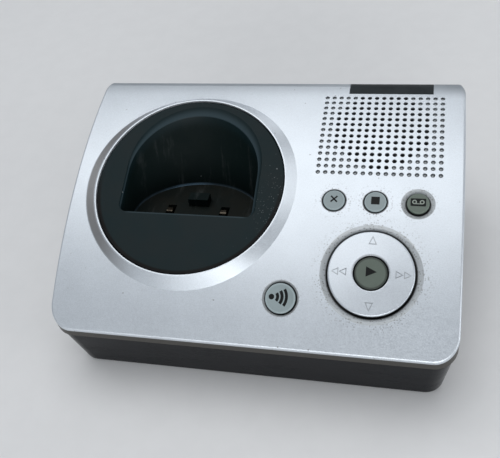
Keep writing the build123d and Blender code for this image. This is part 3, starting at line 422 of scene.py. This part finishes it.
def lathe_mesh(name, profile, steps, material):
    """Closed turned shape from a profile of (radius, height) that starts and ends on its axis."""
    work = bmesh.new()
    rings = []
    for radius, height in profile:
        if radius == 0:
            rings.append([work.verts.new((0, 0, height))])
        else:
            turns = [2 * math.pi * i / steps for i in range(steps)]
            rings.append([work.verts.new((radius * math.cos(a), radius * math.sin(a), height))
                          for a in turns])
    for low, high in zip(rings, rings[1:]):
        for i in range(steps):
            corners = [low[i % len(low)], low[(i + 1) % len(low)],
                       high[(i + 1) % len(high)], high[i % len(high)]]
            work.faces.new(list(dict.fromkeys(corners)))
    bmesh.ops.recalc_face_normals(work, faces=work.faces)
    for face in work.faces:
        face.smooth = True
    return finished_mesh(name, work, material)


def make_pit_buttons(material):
    """Grid of buttons in the blind pits, laid over the curve of the cover."""
    shaper = Shaper("pit_button_grid", Columns=pit_columns, Rows=pit_rows, Pitch=pit_pitch,
                    Open_Radius=open_radius, Pit_Depth=pit_depth)
    given = shaper.given
    wide = shaper.times(shaper.math("SUBTRACT", given["Columns"], 1.0), given["Pitch"])
    long = shaper.times(shaper.math("SUBTRACT", given["Rows"], 1.0), given["Pitch"])
    sizes = {"Size X": wide, "Size Y": long, "Vertices X": given["Columns"], "Vertices Y": given["Rows"]}
    grid = shaper.form("MeshGrid", sizes)["Mesh"]
    flat = shaper.position()
    middle_s = pit_first_s + (pit_rows - 1) / 2 * pit_pitch
    along = shaper.math("ADD", flat[1], middle_s)
    slope = shaper.math("MULTIPLY_ADD", along, -1 / top_radius, front_slope)
    floor_radius = shaper.math("SUBTRACT", top_radius, given["Pit_Depth"])
    down = shaper.times(shaper.math("SINE", slope), floor_radius)
    up = shaper.times(shaper.math("COSINE", slope), floor_radius)
    spot = shaper.vector(shaper.math("ADD", flat[0], grille_x), shaper.math("SUBTRACT", arc_y, down),
                         shaper.math("ADD", up, arc_z))
    reach = shaper.length(shaper.vector(flat[0], shaper.math("SUBTRACT", along, speaker_s)))
    blind = shaper.math("GREATER_THAN", reach, given["Open_Radius"])
    kept = shaper.form("MeshToPoints", {"Mesh": grid, "Selection": blind, "Position": spot})[0]
    profile = [(0, -button_root), (button_radius, -button_root), (button_radius, button_rise * side_rise),
               (button_radius * crown_radius, button_rise * crown_rise), (0, button_rise)]
    stamp = place_piece("pit_button", lathe_mesh("pit_button", profile, button_steps, material))
    shape = shaper.form("ObjectInfo", {"Object": stamp})["Geometry"]
    laid = shaper.position()
    turn = shaper.math("ARCTAN2", shaper.math("SUBTRACT", arc_y, laid[1]),
                       shaper.math("SUBTRACT", laid[2], arc_z))
    placed = {"Points": kept, "Instance": shape, "Rotation": shaper.vector(turn)}
    buttons = shaper.make("pit_buttons", shaper.form("InstanceOnPoints", placed)[0], material)
    bpy.data.objects.remove(stamp)
    return buttons


pit_finish = Finish("shaded_pit_paint", Metallic=0.3)
pit_flakes = pit_finish.effect(paint_flakes, Tone=shaded_pit_paint, Size=flake_size, Contrast=0.2)
pit_rough = pit_finish.band(pit_flakes["Flake"], 0.0, 1.0, 0.4, 0.6)
pit_buttons = make_pit_buttons(pit_finish.surface(Base_Color=pit_flakes["Colour"], Roughness=pit_rough))
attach(pit_buttons, "base")

# Rear label
# A thin dark film in a shallow bed on the rear edge of the cover, stuck down with its own adhesive. It is
# bare, with the slight mottle of a laminated film.
film_black = (0.016, 0.02, 0.022, 1)
label_finish = Finish("label_film", Specular_IOR_Level=0.12)
label_grain = label_finish.effect(mould_grain, Tone=film_black, Size=0.0004, Variation=0.35)
label_rough = label_finish.follow(label_grain["Cloud"], 0.3, 0.5)
label_relief = label_finish.relief(label_grain["Height"], depth=0.00001)
dress(label_finish.surface(Base_Color=label_grain["Colour"], Roughness=label_rough, Normal=label_relief),
      "rear_label")

# Cradle insert
# A dark slate moulding pressed into the collar: a flat disc with a leaning pocket for the handset's foot.
# It is finely textured. Painted shade darkens the pocket and the front rim of the disc, and a painted
# highlight lies along the pocket's flared mouth, along its front edge and, pale blue, along the floor's rear
# edge. Dust has settled on the disc's right side, on the pocket's floor and in streaks on its back wall.
slate = (0.004, 0.0115, 0.0135, 1)
pocket_shade = (0.0015, 0.006, 0.006, 1)
lip_highlight = (0.024, 0.040, 0.048, 1)
floor_dust = (0.0095, 0.0105, 0.0085, 1)
floor_edge_highlight = (0.085, 0.14, 0.19, 1)
rim_shade = (0.0004, 0.0006, 0.0006, 1)
dust_grey = (0.38, 0.41, 0.42, 1)
pocket_lean = math.radians(24)
pocket_depth = 0.0164
pocket_radius = 0.026
pocket_arch_v = 0.0058
pocket_floor_tilt = math.radians(-8)
pocket_axis = Vector((0, math.sin(pocket_lean), math.cos(pocket_lean)))
pocket_floor = Matrix.Translation(cradle_place.to_translation() - pocket_depth * pocket_axis)
pocket_floor = pocket_floor @ Matrix.Rotation(pocket_floor_tilt, 4, "X")
# Where each shade in the cradle's own frame starts and is full, and where it fades again.
pocket_start_z, pocket_shade_z = -0.0006, -0.005
lip_heights = (-0.0012, -0.0008, -0.0007, 0.00018)
lip_limits = (0.0355, 0.035)
floor_heights = (0.0007, 0.0002)
corner_heights = (0.0009, 0.0003)
corner_widths = (0.0007, 0.0002)
bright_right = (0.004, -0.004)
bright_left = (-0.0195, -0.014)
mouth_edge = (-0.0134, -0.0131, -0.0128, -0.0125)
mouth_middle_x = 0.0005
mouth_ends = (0.0245, 0.022)
rim_edges = (0.0350, 0.0358)
rim_rear, rim_front = 0.008, -0.012
dust_patch = cradle_place @ Matrix.Translation((0.0345, -0.0085, 0))
dust_patch_ends = (0.011, 0.002)
dusty_side = (0.012, 0.034)


def make_slate_plastic():
    """Textured slate plastic, with painted shade in the pocket, painted highlights at its mouth and the
    floor's rear edge, and the dust.
    """
    finish = Finish("slate_plastic", Specular_IOR_Level=0.12)
    grain = finish.effect(mould_grain, Tone=slate, Size=0.00018, Variation=0.12)
    local = finish.around(cradle_place)
    across, along, height = finish.split(local)
    out = finish.length(local)
    # Painted shade down inside the pocket.
    inside = finish.band(height, pocket_start_z, pocket_shade_z)
    # Painted highlight along the pocket's flared mouth.
    lip = finish.times(finish.ridge(height, *lip_heights), finish.band(out, *lip_limits))
    middle = finish.math("ABSOLUTE", finish.math("ADD", across, -mouth_middle_x))
    # Painted highlight in a thin line along the front edge of the pocket's mouth.
    mouth = finish.times(finish.ridge(along, *mouth_edge), finish.band(middle, *mouth_ends))
    rim = finish.times(finish.band(out, *rim_edges), finish.band(along, rim_rear, rim_front))

    above_floor = finish.split(finish.around(pocket_floor))[2]
    floor = finish.times(finish.band(above_floor, *floor_heights), finish.follow(grain["Cloud"], 0.3, 1.0))
    shear = math.tan(pocket_lean + cradle_place.to_euler("XYZ").x)
    uphill = finish.math("MULTIPLY_ADD", height, -shear, along)
    arch = finish.length(finish.vector(across, finish.math("SUBTRACT", uphill, pocket_arch_v)))
    # Painted highlight, pale blue, along the edge where the pocket's floor meets its back wall, brightest
    # left of the middle.
    corner = finish.times(
        finish.band(arch, *[pocket_radius - width for width in corner_widths]),
        finish.band(above_floor, *corner_heights),
        finish.band(across, *bright_right, 0.25, 1.0),
        finish.band(across, *bright_left, 0.3, 1.0),
        finish.band(grain["Cloud"], 0.3, 0.6, 0.4, 1.0),
    )

    drawn = finish.scaled(local, (1.0, 0.16, 0.16))
    streaks = finish.noise(drawn, scale=260.0, detail=5.0, roughness=0.65)
    smears = finish.times(finish.band(streaks, 0.56, 0.8), inside)
    dust = finish.effect(dirt_specks, Pitch=0.0007, Size=0.26, Share=0.4)["Mask"]
    crumbs = finish.effect(dirt_specks, Pitch=0.006, Size=0.06, Share=0.35)["Mask"]
    sparse = finish.effect(dirt_specks, Pitch=0.0016, Size=0.14, Share=0.25)["Mask"]
    from_patch = finish.length(finish.around(dust_patch), (1, 0.6, 0))
    specks = finish.most(finish.times(dust, finish.band(from_patch, *dust_patch_ends)),
                         finish.times(sparse, finish.band(across, *dusty_side)), crumbs)
    dusty = finish.math("MULTIPLY_ADD", smears, 0.07, finish.times(specks, 0.5))
    colour = finish.layered(
        grain["Colour"],
        (inside, 1.0, pocket_shade),
        (lip, 1.0, lip_highlight),
        (floor, 1.0, floor_dust),
        (corner, 1.0, floor_edge_highlight),
        (mouth, 0.8, lip_highlight),
        (rim, 1.0, rim_shade),
        (dusty, 1.0, dust_grey),
    )
    rough = finish.math("MULTIPLY_ADD", inside, 0.22, finish.follow(grain["Cloud"], 0.4, 0.5))
    normal = finish.relief(grain["Height"], depth=0.00002)
    return finish.surface(Base_Color=colour, Roughness=rough, Normal=normal)


dress(make_slate_plastic(), "cradle_insert")

# Charging contacts
# Two bent strips of nickel-plated spring metal that stand through slots in the pocket's floor. Their roots
# are held in a black block under it.
nickel = (0.08, 0.07, 0.055, 1)
tarnish = (0.03, 0.024, 0.018, 1)
moulded_black = (0.02, 0.02, 0.022, 1)


def make_spring_metal():
    """Plated strip with fine drawing lines and tarnish."""
    finish = Finish("spring_metal", Metallic=1.0)
    drawn = finish.noise(finish.scaled(finish.place, (6.0, 0.3, 0.3)), scale=900.0)
    stained = finish.band(finish.noise(finish.place, scale=420.0, detail=4.0), 0.4, 0.7)
    colour = finish.blend(stained, nickel, tarnish)
    rough = finish.follow(drawn, 0.24, 0.4)
    return finish.surface(Base_Color=colour, Roughness=rough, Normal=finish.relief(drawn, depth=0.00001))


def make_plastic(name, tone, roughness=0.45, variation=0.15, size=0.0003, depth=0.00002):
    """Plain moulded plastic or rubber."""
    finish = Finish(name)
    grain = finish.effect(mould_grain, Tone=tone, Size=size, Variation=variation)
    rough = finish.follow(grain["Cloud"], roughness - 0.06, roughness + 0.08)
    normal = finish.relief(grain["Height"], depth)
    return finish.surface(Base_Color=grain["Colour"], Roughness=rough, Normal=normal)


dress(make_spring_metal(), "charge_contact_left", "charge_contact_right")
inner_plastic = make_plastic("inner_plastic", moulded_black)
dress(inner_plastic, "contact_holder")

# Round keys
# Five moulded caps that stand a little proud of the cover. Three are a satin grey green, and those for
# messages and play are smokier. Each shows a dark printed sign, set slightly towards the rear of its cap.
cap_height = 0.0006
cap_radii = {"erase": 0.0039, "stop": 0.0039, "message": 0.0039, "locator": 0.0054}
cap_rim_start, cap_rim_full = 0.84, 0.93
cap_side_top, cap_side_low = 0.0003, -0.0003
cap_grey = (0.235, 0.285, 0.295, 1)
cap_smoke = (0.095, 0.12, 0.1, 1)
side_shade = (0.02, 0.022, 0.022, 1)
print_black = (0.006, 0.007, 0.007, 1)
print_pale = (0.25, 0.28, 0.25, 1)


def make_cap(key, tone, radius, rim_gain=1.5, rim_share=0.5):
    """Cap plastic: a painted highlight at its rounded rim, a painted shade there when the gain is low, and
    painted shade on its side in the gap.
    """
    finish = Finish(key + "_cap", Specular_IOR_Level=0.35)
    grain = finish.effect(mould_grain, Tone=tone, Size=0.00025, Variation=0.07)
    local = finish.around(control_places[key])
    # Painted highlight on the rounded rim of most caps; on the play cap the low gain makes it a painted
    # shade.
    rim = finish.band(finish.length(local), radius * cap_rim_start, radius * cap_rim_full)
    painted_rim_tone = tuple(rim_gain * part for part in tone[:3]) + (1,)
    # Painted shade on the cap's side, down in the gap.
    side = finish.band(finish.split(local)[2], cap_side_top, cap_side_low)
    specks = finish.effect(dirt_specks, Pitch=0.0012, Size=0.12, Share=0.2)["Mask"]
    colour = finish.layered(grain["Colour"], (rim, rim_share, painted_rim_tone), (side, 1.0, side_shade),
                            (specks, 0.3, grime_and_shade))
    rough = finish.follow(grain["Cloud"], 0.3, 0.42)
    normal = finish.relief(grain["Height"], depth=0.000008)
    return finish.surface(Base_Color=colour, Roughness=rough, Normal=normal)


def make_ink(name, tone):
    """Printing ink on a cap."""
    finish = Finish(name, Specular_IOR_Level=0.15)
    grain = finish.effect(mould_grain, Tone=tone, Size=0.0002, Variation=0.2)
    return finish.surface(Base_Color=grain["Colour"], Roughness=finish.follow(grain["Cloud"], 0.42, 0.6))


def print_sign(name, outlines, key, level, material, thickness=0.00002, sunk=0.00003):
    """Thin printed sign on a key, from outlines in its cap's frame. An outline may have a hole."""
    work = bmesh.new()
    for outer, hole in outlines:
        loops = []
        for height in (level - sunk, level + thickness):
            for points in (outer, hole):
                loops.append([work.verts.new((x, y, height)) for x, y in points])
        low_out, low_in, high_out, high_in = loops
        for low, high in ((low_out, high_out), (low_in, high_in)):
            for i in range(len(low)):
                j = (i + 1) % len(low)
                work.faces.new((low[i], low[j], high[j], high[i]))
        for out, inner in ((low_out, low_in), (high_out, high_in)):
            if inner:
                for i in range(len(out)):
                    j = (i + 1) % len(out)
                    work.faces.new((out[i], out[j], inner[j], inner[i]))
            else:
                work.faces.new(out)
    bmesh.ops.recalc_face_normals(work, faces=work.faces)
    bmesh.ops.transform(work, matrix=control_places[key], verts=work.verts)
    sign = place_piece(name, finished_mesh(name, work, material))
    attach(sign, key + "_button")


def turned(points, angle, x=0.0, y=0.0):
    """Points turned about the middle and then moved."""
    c, s = math.cos(angle), math.sin(angle)
    return [(c * px - s * py + x, s * px + c * py + y) for px, py in points]


def circle(radius, x=0.0, y=0.0, steps=40):
    """Points of a circle."""
    angles = [2 * math.pi * i / steps for i in range(steps)]
    return [(x + radius * math.cos(a), y + radius * math.sin(a)) for a in angles]


def rounded_box(width, height, corner, y=0.0, steps=5):
    """Points of a rectangle with round corners."""
    points = []
    for quarter, (sx, sy) in enumerate(((1, 1), (-1, 1), (-1, -1), (1, -1))):
        for i in range(steps + 1):
            angle = math.pi / 2 * (quarter + i / steps)
            points.append((sx * (width / 2 - corner) + corner * math.cos(angle),
                           y + sy * (height / 2 - corner) + corner * math.sin(angle)))
    return points


def arc_band(middle, width, half_angle, x, y, steps=16):
    """Points of a bowed bar about a centre."""
    angles = [half_angle * (2 * i / steps - 1) for i in range(steps + 1)]
    far, near = ([(x + radius * math.cos(a), y + radius * math.sin(a)) for a in angles]
                 for radius in (middle + width / 2, middle - width / 2))
    return far + near[::-1]


for key, tone in (("erase", cap_grey), ("stop", cap_grey), ("message", cap_smoke), ("locator", cap_grey)):
    dress(make_cap(key, tone, cap_radii[key]), key + "_key")

key_print = make_ink("key_print", print_black)
reel_print = make_ink("reel_print", print_pale)
sign_y = 0.00038
cross_reach = 0.00162
cross_half = 0.00029
cross = []
for quarter in range(4):
    arm = [(cross_half, cross_half), (cross_reach, cross_half), (cross_reach, -cross_half)]
    cross += turned(arm, -quarter * math.pi / 2)
cross = turned(cross, math.pi / 4, 0.0, sign_y)
square_side, square_corner = 0.003, 0.00012
square = rounded_box(square_side, square_side, square_corner, sign_y)
plate_width, plate_length, plate_corner = 0.0053, 0.00295, 0.0003
plate = rounded_box(plate_width, plate_length, plate_corner, sign_y)
for key, outline in (("erase", cross), ("stop", square), ("message", plate)):
    print_sign(key + "_sign", [(outline, [])], key, cap_height, key_print)

reel_x = 0.0013
reel_y = sign_y + 0.0001
reel_outer, reel_inner = 0.00082, 0.00045
tape_low, tape_high = -0.00034, -0.00006
reel_thickness = 0.00004
reels = [(circle(reel_outer, side * reel_x, reel_y), circle(reel_inner, side * reel_x, reel_y))
         for side in (-1, 1)]
reels.append(([(-reel_x, tape_low), (reel_x, tape_low), (reel_x, tape_high), (-reel_x, tape_high)], []))
print_sign("message_reels", reels, "message", cap_height, reel_print, reel_thickness, sunk=0.0)

dot_radius = 0.001
dot_x, dot_y = -0.0031, 0.0003
waves = [(circle(dot_radius, dot_x, dot_y), [])]
for middle, width, half_degrees in ((0.00222, 0.0011, 38), (0.0038, 0.00112, 36), (0.00535, 0.00105, 33)):
    waves.append((arc_band(middle, width, math.radians(half_degrees), dot_x, dot_y), []))
print_sign("locator_sign", waves, "locator", cap_height, key_print)

# Play key, four-way ring and rocker
# A painted ring with sunken arrow outlines tilts round the smoky play key. The black rocker under it lets
# it tilt both ways. The ring is darker in its arrows, with painted shade on its sides, round its bore and
# in the gap round it.
play_height = 0.0012
play_radius = 0.0057
ring_inner = 0.00615
ring_inner_height = 0.0013
ring_drop = 0.0004
ring_width = 0.00875
ring_fall = ring_drop / ring_width
mark_start, mark_full = 0.00008, 0.00016
marks_inner, marks_outer = 0.0068, 0.0143
bore_edges = (0.0069, 0.0065)
bore_front, bore_rear = -0.004, 0.003
ring_side_top, ring_side_low = 0.0003, -0.0006
ring_grey = (0.2, 0.21, 0.22, 1)
ring_side_shade = (0.03, 0.03, 0.03, 1)
speck_grey = (0.2, 0.2, 0.19, 1)
rocker_black = (0.03, 0.03, 0.032, 1)
control_places["play"] = control_places["ring"]
# Its rim is darkened into a painted shade of the gap round it.
dress(make_cap("play", cap_smoke, play_radius, rim_gain=0.2, rim_share=0.75), "play_key")
arrow_half, arrow_tip = 0.0018, 0.00195
arrow_x, arrow_y = 0.0001, 0.0005
arrow = [(-arrow_half, arrow_half), (-arrow_half, -arrow_half), (arrow_tip, 0.0)]
arrow = turned(arrow, 0.0, arrow_x, arrow_y)
print_sign("play_sign", [(arrow, [])], "play", play_height, key_print)


def make_ring_paint():
    """Silver paint of the ring, darker in the arrows, with painted shade in the bore and on the sides, and
    dirt specks.
    """
    finish = Finish("ring_paint", Metallic=0.6)
    flakes = finish.effect(paint_flakes, Tone=silver, Size=flake_size, Contrast=0.06)
    local = finish.around(control_places["ring"])
    out = finish.length(local)
    _, along, height = finish.split(local)
    top = finish.math("MULTIPLY_ADD", out, -ring_fall, ring_inner_height + ring_inner * ring_fall)
    sunk = finish.band(finish.math("SUBTRACT", top, height), mark_start, mark_full)
    marks = finish.times(finish.math("LESS_THAN", out, marks_outer),
                         finish.math("GREATER_THAN", out, marks_inner), sunk)
    # Painted shade on the chamfer round the bore, strongest towards the rear.
    bore = finish.times(finish.band(along, bore_front, bore_rear, 0.0, 0.6), finish.band(out, *bore_edges))
    # Painted shade on the ring's sides.
    side = finish.band(height, ring_side_top, ring_side_low)
    specks = finish.effect(dirt_specks, Pitch=0.0013, Size=0.12, Share=0.18)["Mask"]
    colour = finish.layered(flakes["Colour"], (marks, 0.5, ring_grey), (bore, 1.0, ring_grey),
                            (side, 1.0, ring_side_shade), (specks, 0.45, speck_grey))
    rough = finish.band(flakes["Flake"], 0.0, 1.0, 0.3, 0.42)
    normal = finish.relief(flakes["Flake"], flake_depth)
    return finish.surface(Base_Color=colour, Roughness=rough, Normal=normal)


dress(make_ring_paint(), "nav_ring")
dress(make_plastic("rocker_plastic", rocker_black, roughness=0.5), "nav_rocker")

# Key mat, control board and message lamp
# Under the keys lies a grey silicone mat with a dome for each of them, on a green circuit board. A small
# lamp beside the message key lights it from below.
mask_green = (0.02, 0.11, 0.045, 1)
track_green = (0.06, 0.26, 0.09, 1)
pad_tin = (0.62, 0.62, 0.6, 1)
silicone_grey = (0.42, 0.42, 0.40, 1)
lamp_white = (0.8, 0.77, 0.7, 1)


def make_board():
    """Green solder mask over copper tracks and pads."""
    finish = Finish("circuit_board", Coat_Weight=0.3)
    grain = finish.effect(mould_grain, Tone=mask_green, Size=0.0004, Variation=0.2)
    steps = {"Vector": finish.place, "Scale": 260.0, "Randomness": 0.35}
    tracks = finish.add("TexVoronoi", steps, feature="DISTANCE_TO_EDGE").outputs[0]
    line = finish.band(tracks, 0.05, 0.02)
    pad = finish.band(finish.effect(dirt_specks, Pitch=0.0026, Size=0.4, Share=0.5)["Mask"], 0.45, 0.55)
    colour = finish.layered(grain["Colour"], (line, 0.6, track_green), (pad, 1.0, pad_tin))
    rough = finish.follow(grain["Cloud"], 0.28, 0.42)
    normal = finish.relief(line, depth=0.00003)
    return finish.surface(Base_Color=colour, Roughness=rough, Metallic=pad, Normal=normal)


circuit_board = make_board()
dress(make_plastic("silicone", silicone_grey, roughness=0.6, variation=0.08), "key_mat")
dress(circuit_board, "control_board")
dress(make_plastic("lamp_resin", lamp_white, roughness=0.22, variation=0.06), "message_lamp")

# Speaker
# A pressed steel basket with a ferrite magnet and a black paper cone, which hangs under the grille on two
# ears. A foam ring and a thin black cloth close the gap to the perforations.
steel_grey = (0.55, 0.55, 0.55, 1)
ferrite_grey = (0.05, 0.05, 0.05, 1)
paper_black = (0.035, 0.035, 0.035, 1)
foam_black = (0.04, 0.04, 0.04, 1)
yarn_dark = (0.004, 0.004, 0.004, 1)
yarn_light = (0.02, 0.02, 0.02, 1)


def make_metal(name, tone, roughness, variation=0.12, size=0.0005, stretch=(1, 1, 1)):
    """Sheet or wire with a plated, slightly clouded surface."""
    finish = Finish(name, Metallic=1.0)
    drawn = finish.scaled(finish.place, stretch)
    grain = finish.effect(mould_grain, Place=drawn, Tone=tone, Size=size, Variation=variation)
    rough = finish.follow(grain["Height"], roughness - 0.08, roughness + 0.1)
    normal = finish.relief(grain["Height"], depth=0.00001)
    return finish.surface(Base_Color=grain["Colour"], Roughness=rough, Normal=normal)


def make_cloth():
    """Thin black cloth: two crossing sets of yarns."""
    finish = Finish("dust_cloth")
    local = finish.around(cover_place(grille_x, speaker_s))
    wave = {"Vector": local, "Scale": 700.0, "Distortion": 0.6, "Detail": 2.0}
    yarns = [finish.add("TexWave", wave, bands_direction=axis).outputs["Fac"] for axis in ("X", "Y")]
    weave = finish.times(*yarns)
    colour = finish.blend(weave, yarn_dark, yarn_light)
    rough = finish.band(weave, 0.0, 1.0, 0.95, 0.8)
    return finish.surface(Base_Color=colour, Roughness=rough, Normal=finish.relief(weave, depth=0.00005))


dress(make_metal("sheet_steel", steel_grey, roughness=0.35), "speaker_frame", "speaker_yoke")
dress(make_plastic("ferrite", ferrite_grey, roughness=0.55, variation=0.3), "speaker_magnet")
cone_paper = make_plastic("cone_paper", paper_black, roughness=0.85, variation=0.25, size=0.0006,
                          depth=0.00008)
dress(cone_paper, "speaker_cone")
foam = make_plastic("foam", foam_black, roughness=0.95, variation=0.3, size=0.0007, depth=0.0002)
dress(foam, "speaker_gasket")
dress(make_cloth(), "speaker_cloth")

# Lower case
# The lower half: a near-black polished moulding that tapers towards the table. It has the wells of its
# own four screws, and openings in its rear wall for the two sockets.
case_black = (0.003, 0.0036, 0.005, 1)


def make_case_plastic():
    """Polished black moulding with faint wiping marks and a little dust."""
    finish = Finish("case_plastic", Specular_IOR_Level=0.1)
    grain = finish.effect(mould_grain, Tone=case_black, Size=0.0008, Variation=0.2)
    wiped = finish.noise(finish.scaled(finish.place, (0.3, 0.3, 1.4)), scale=220.0, detail=5.0)
    dust = finish.effect(dirt_specks, Pitch=0.003, Size=0.06, Share=0.4)["Mask"]
    colour = finish.layered(grain["Colour"], (dust, 0.3, dust_grey))
    rough = finish.math("MULTIPLY_ADD", dust, 0.3, finish.band(wiped, 0.35, 0.75, 0.16, 0.32))
    normal = finish.relief(grain["Height"], depth=0.00001)
    return finish.surface(Base_Color=colour, Roughness=rough, Normal=normal)


dress(make_case_plastic(), "lower_case")

# Rubber feet
# Four round feet of dark soft rubber, each stuck in a shallow recess under a corner of the case. Their
# faces are scuffed from being pushed about on the table.
rubber_black = (0.03, 0.03, 0.03, 1)
scuff_grey = (0.2, 0.19, 0.18, 1)


def make_rubber():
    """Dark rubber with pale scuffs."""
    finish = Finish("foot_rubber")
    grain = finish.effect(mould_grain, Tone=rubber_black, Size=0.0004, Variation=0.3)
    scuffs = finish.noise(finish.place, scale=700.0, detail=5.0, roughness=0.7)
    colour = finish.blend(finish.band(scuffs, 0.5, 0.8, 0.0, 0.5), grain["Colour"], scuff_grey)
    rough = finish.band(scuffs, 0.3, 0.8, 0.7, 0.95)
    normal = finish.relief(grain["Height"], depth=0.00004)
    return finish.surface(Base_Color=colour, Roughness=rough, Normal=normal)


dress(make_rubber(), "rubber_feet")

# Main board and what it carries
# A second green board on the case floor, with a tinned shield over the radio, a chip, a line transformer,
# three capacitors and a wire antenna. All of it is soldered on.
tin_grey = (0.7, 0.71, 0.72, 1)
epoxy_black = (0.02, 0.02, 0.02, 1)
copper = (0.6, 0.3, 0.14, 1)
winding_stretch = (0.2, 0.2, 3.0)
sleeve_blue = (0.03, 0.04, 0.1, 1)
pale_gold = (0.8, 0.62, 0.28, 1)
dress(circuit_board, "main_board")
dress(make_metal("tinned_steel", tin_grey, roughness=0.25, variation=0.08), "rf_shield")
dress(make_plastic("chip_epoxy", epoxy_black, roughness=0.5, variation=0.2), "signal_chip")
copper_winding = make_metal("copper_winding", copper, roughness=0.3, variation=0.3, size=0.0003,
                            stretch=winding_stretch)
dress(copper_winding, "line_transformer")
dress(make_plastic("capacitor_sleeve", sleeve_blue, roughness=0.25, variation=0.1), "filter_capacitors")
plated_wire = make_metal("plated_wire", pale_gold, roughness=0.25)
dress(plated_wire, "antenna")

# Rear sockets
# The telephone line socket with its four sprung wires, and the round power socket with its pin. Both are
# black mouldings on the main board that look out of the rear wall.
dress(inner_plastic, "line_jack", "dc_jack")
dress(plated_wire, "line_jack_wires", "dc_jack_pin")

# Ribbon and its sockets
# A white flat cable joins the two boards, with printed conductors that show through as fine lines. A black
# socket on each board holds one of its ends.
film_white = (0.72, 0.71, 0.66, 1)
wire_grey = (0.5, 0.5, 0.48, 1)


def make_ribbon():
    """White film over a row of flat conductors."""
    finish = Finish("ribbon_film")
    wave = {"Vector": finish.place, "Scale": 160.0}
    lines = finish.add("TexWave", wave, bands_direction="X").outputs["Fac"]
    wire = finish.band(lines, 0.35, 0.65)
    rough = finish.band(lines, 0.0, 1.0, 0.34, 0.48)
    colour = finish.blend(wire, film_white, wire_grey)
    return finish.surface(Base_Color=colour, Roughness=rough, Normal=finish.relief(wire, depth=0.00003))


dress(make_ribbon(), "board_ribbon")
dress(inner_plastic, "ribbon_sockets")

# Screws
# Cross-head screws of plated steel, turned in from below: four for the case, four for the control board,
# three for the cradle and two for the speaker, and four from above for the main board.
screw_grey = (0.5, 0.5, 0.52, 1)
screw_steel = make_metal("screw_steel", screw_grey, roughness=0.32, variation=0.15, size=0.0002)
dress(screw_steel, "case_screws", "control_board_screws", "main_board_screws", "cradle_screws",
      "speaker_screws")

# Floor, light and camera
# A pale table under soft studio light, seen from the photograph's place above and to the right.
floor_size = 6.0
table_white = (0.72, 0.725, 0.73, 1)
bpy.ops.mesh.primitive_plane_add(size=floor_size)
table = bpy.context.object
table.name = "table_top"
table_finish = Finish("table_paint", Roughness=0.6)
table_grain = table_finish.effect(mould_grain, Tone=table_white, Size=0.002, Variation=0.012)
table.data.materials.append(table_finish.surface(Base_Color=table_grain["Colour"]))

lamp_aim = Vector((0, 0, 0.04))


def soft_lamp(name, spot, width, height, watts, spread=180):
    """Soft box that points at the unit."""
    lamp = bpy.data.lights.new(name, "AREA")
    lamp.shape = "RECTANGLE"
    lamp.size = width
    lamp.size_y = height
    lamp.energy = watts
    lamp.spread = math.radians(spread)
    holder = bpy.data.objects.new(name, lamp)
    holder.location = spot
    holder.rotation_euler = (lamp_aim - Vector(spot)).to_track_quat("-Z", "Y").to_euler()
    bpy.context.scene.collection.objects.link(holder)


soft_lamp("ceiling_box", (-0.16, 0.2, 0.95), width=0.95, height=0.95, watts=5.2)
soft_lamp("front_box", (0.1, -0.95, 0.3), width=1.0, height=0.4, watts=2.0, spread=110)
soft_lamp("side_box", (0.9, -0.2, 0.3), width=0.6, height=0.3, watts=0.85, spread=110)
soft_lamp("rear_box", (0.45, 1.0, 0.4), width=1.1, height=0.5, watts=0.7, spread=110)

room_tone = (0.86, 0.92, 1.0, 1)
room_strength = 0.3
room = bpy.data.worlds.new("studio")
room.use_nodes = True
backdrop = room.node_tree.nodes["Background"]
backdrop.inputs["Color"].default_value = room_tone
backdrop.inputs["Strength"].default_value = room_strength
bpy.context.scene.world = room
bpy.context.scene.view_settings.view_transform = "Standard"

camera_spot = (0.05552, -0.17339, 0.2333)
camera_degrees = (41.259273, 7.870026, 10.797877)
camera_data = bpy.data.cameras.new("photo_camera")
camera_data.sensor_width = 36.0
camera_data.sensor_fit = "HORIZONTAL"
camera_data.lens = 49.34
camera_data.clip_start = 0.01
camera = bpy.data.objects.new("photo_camera", camera_data)
camera.location = camera_spot
camera.rotation_euler = [math.radians(angle) for angle in camera_degrees]
bpy.context.scene.collection.objects.link(camera)
bpy.context.scene.camera = camera
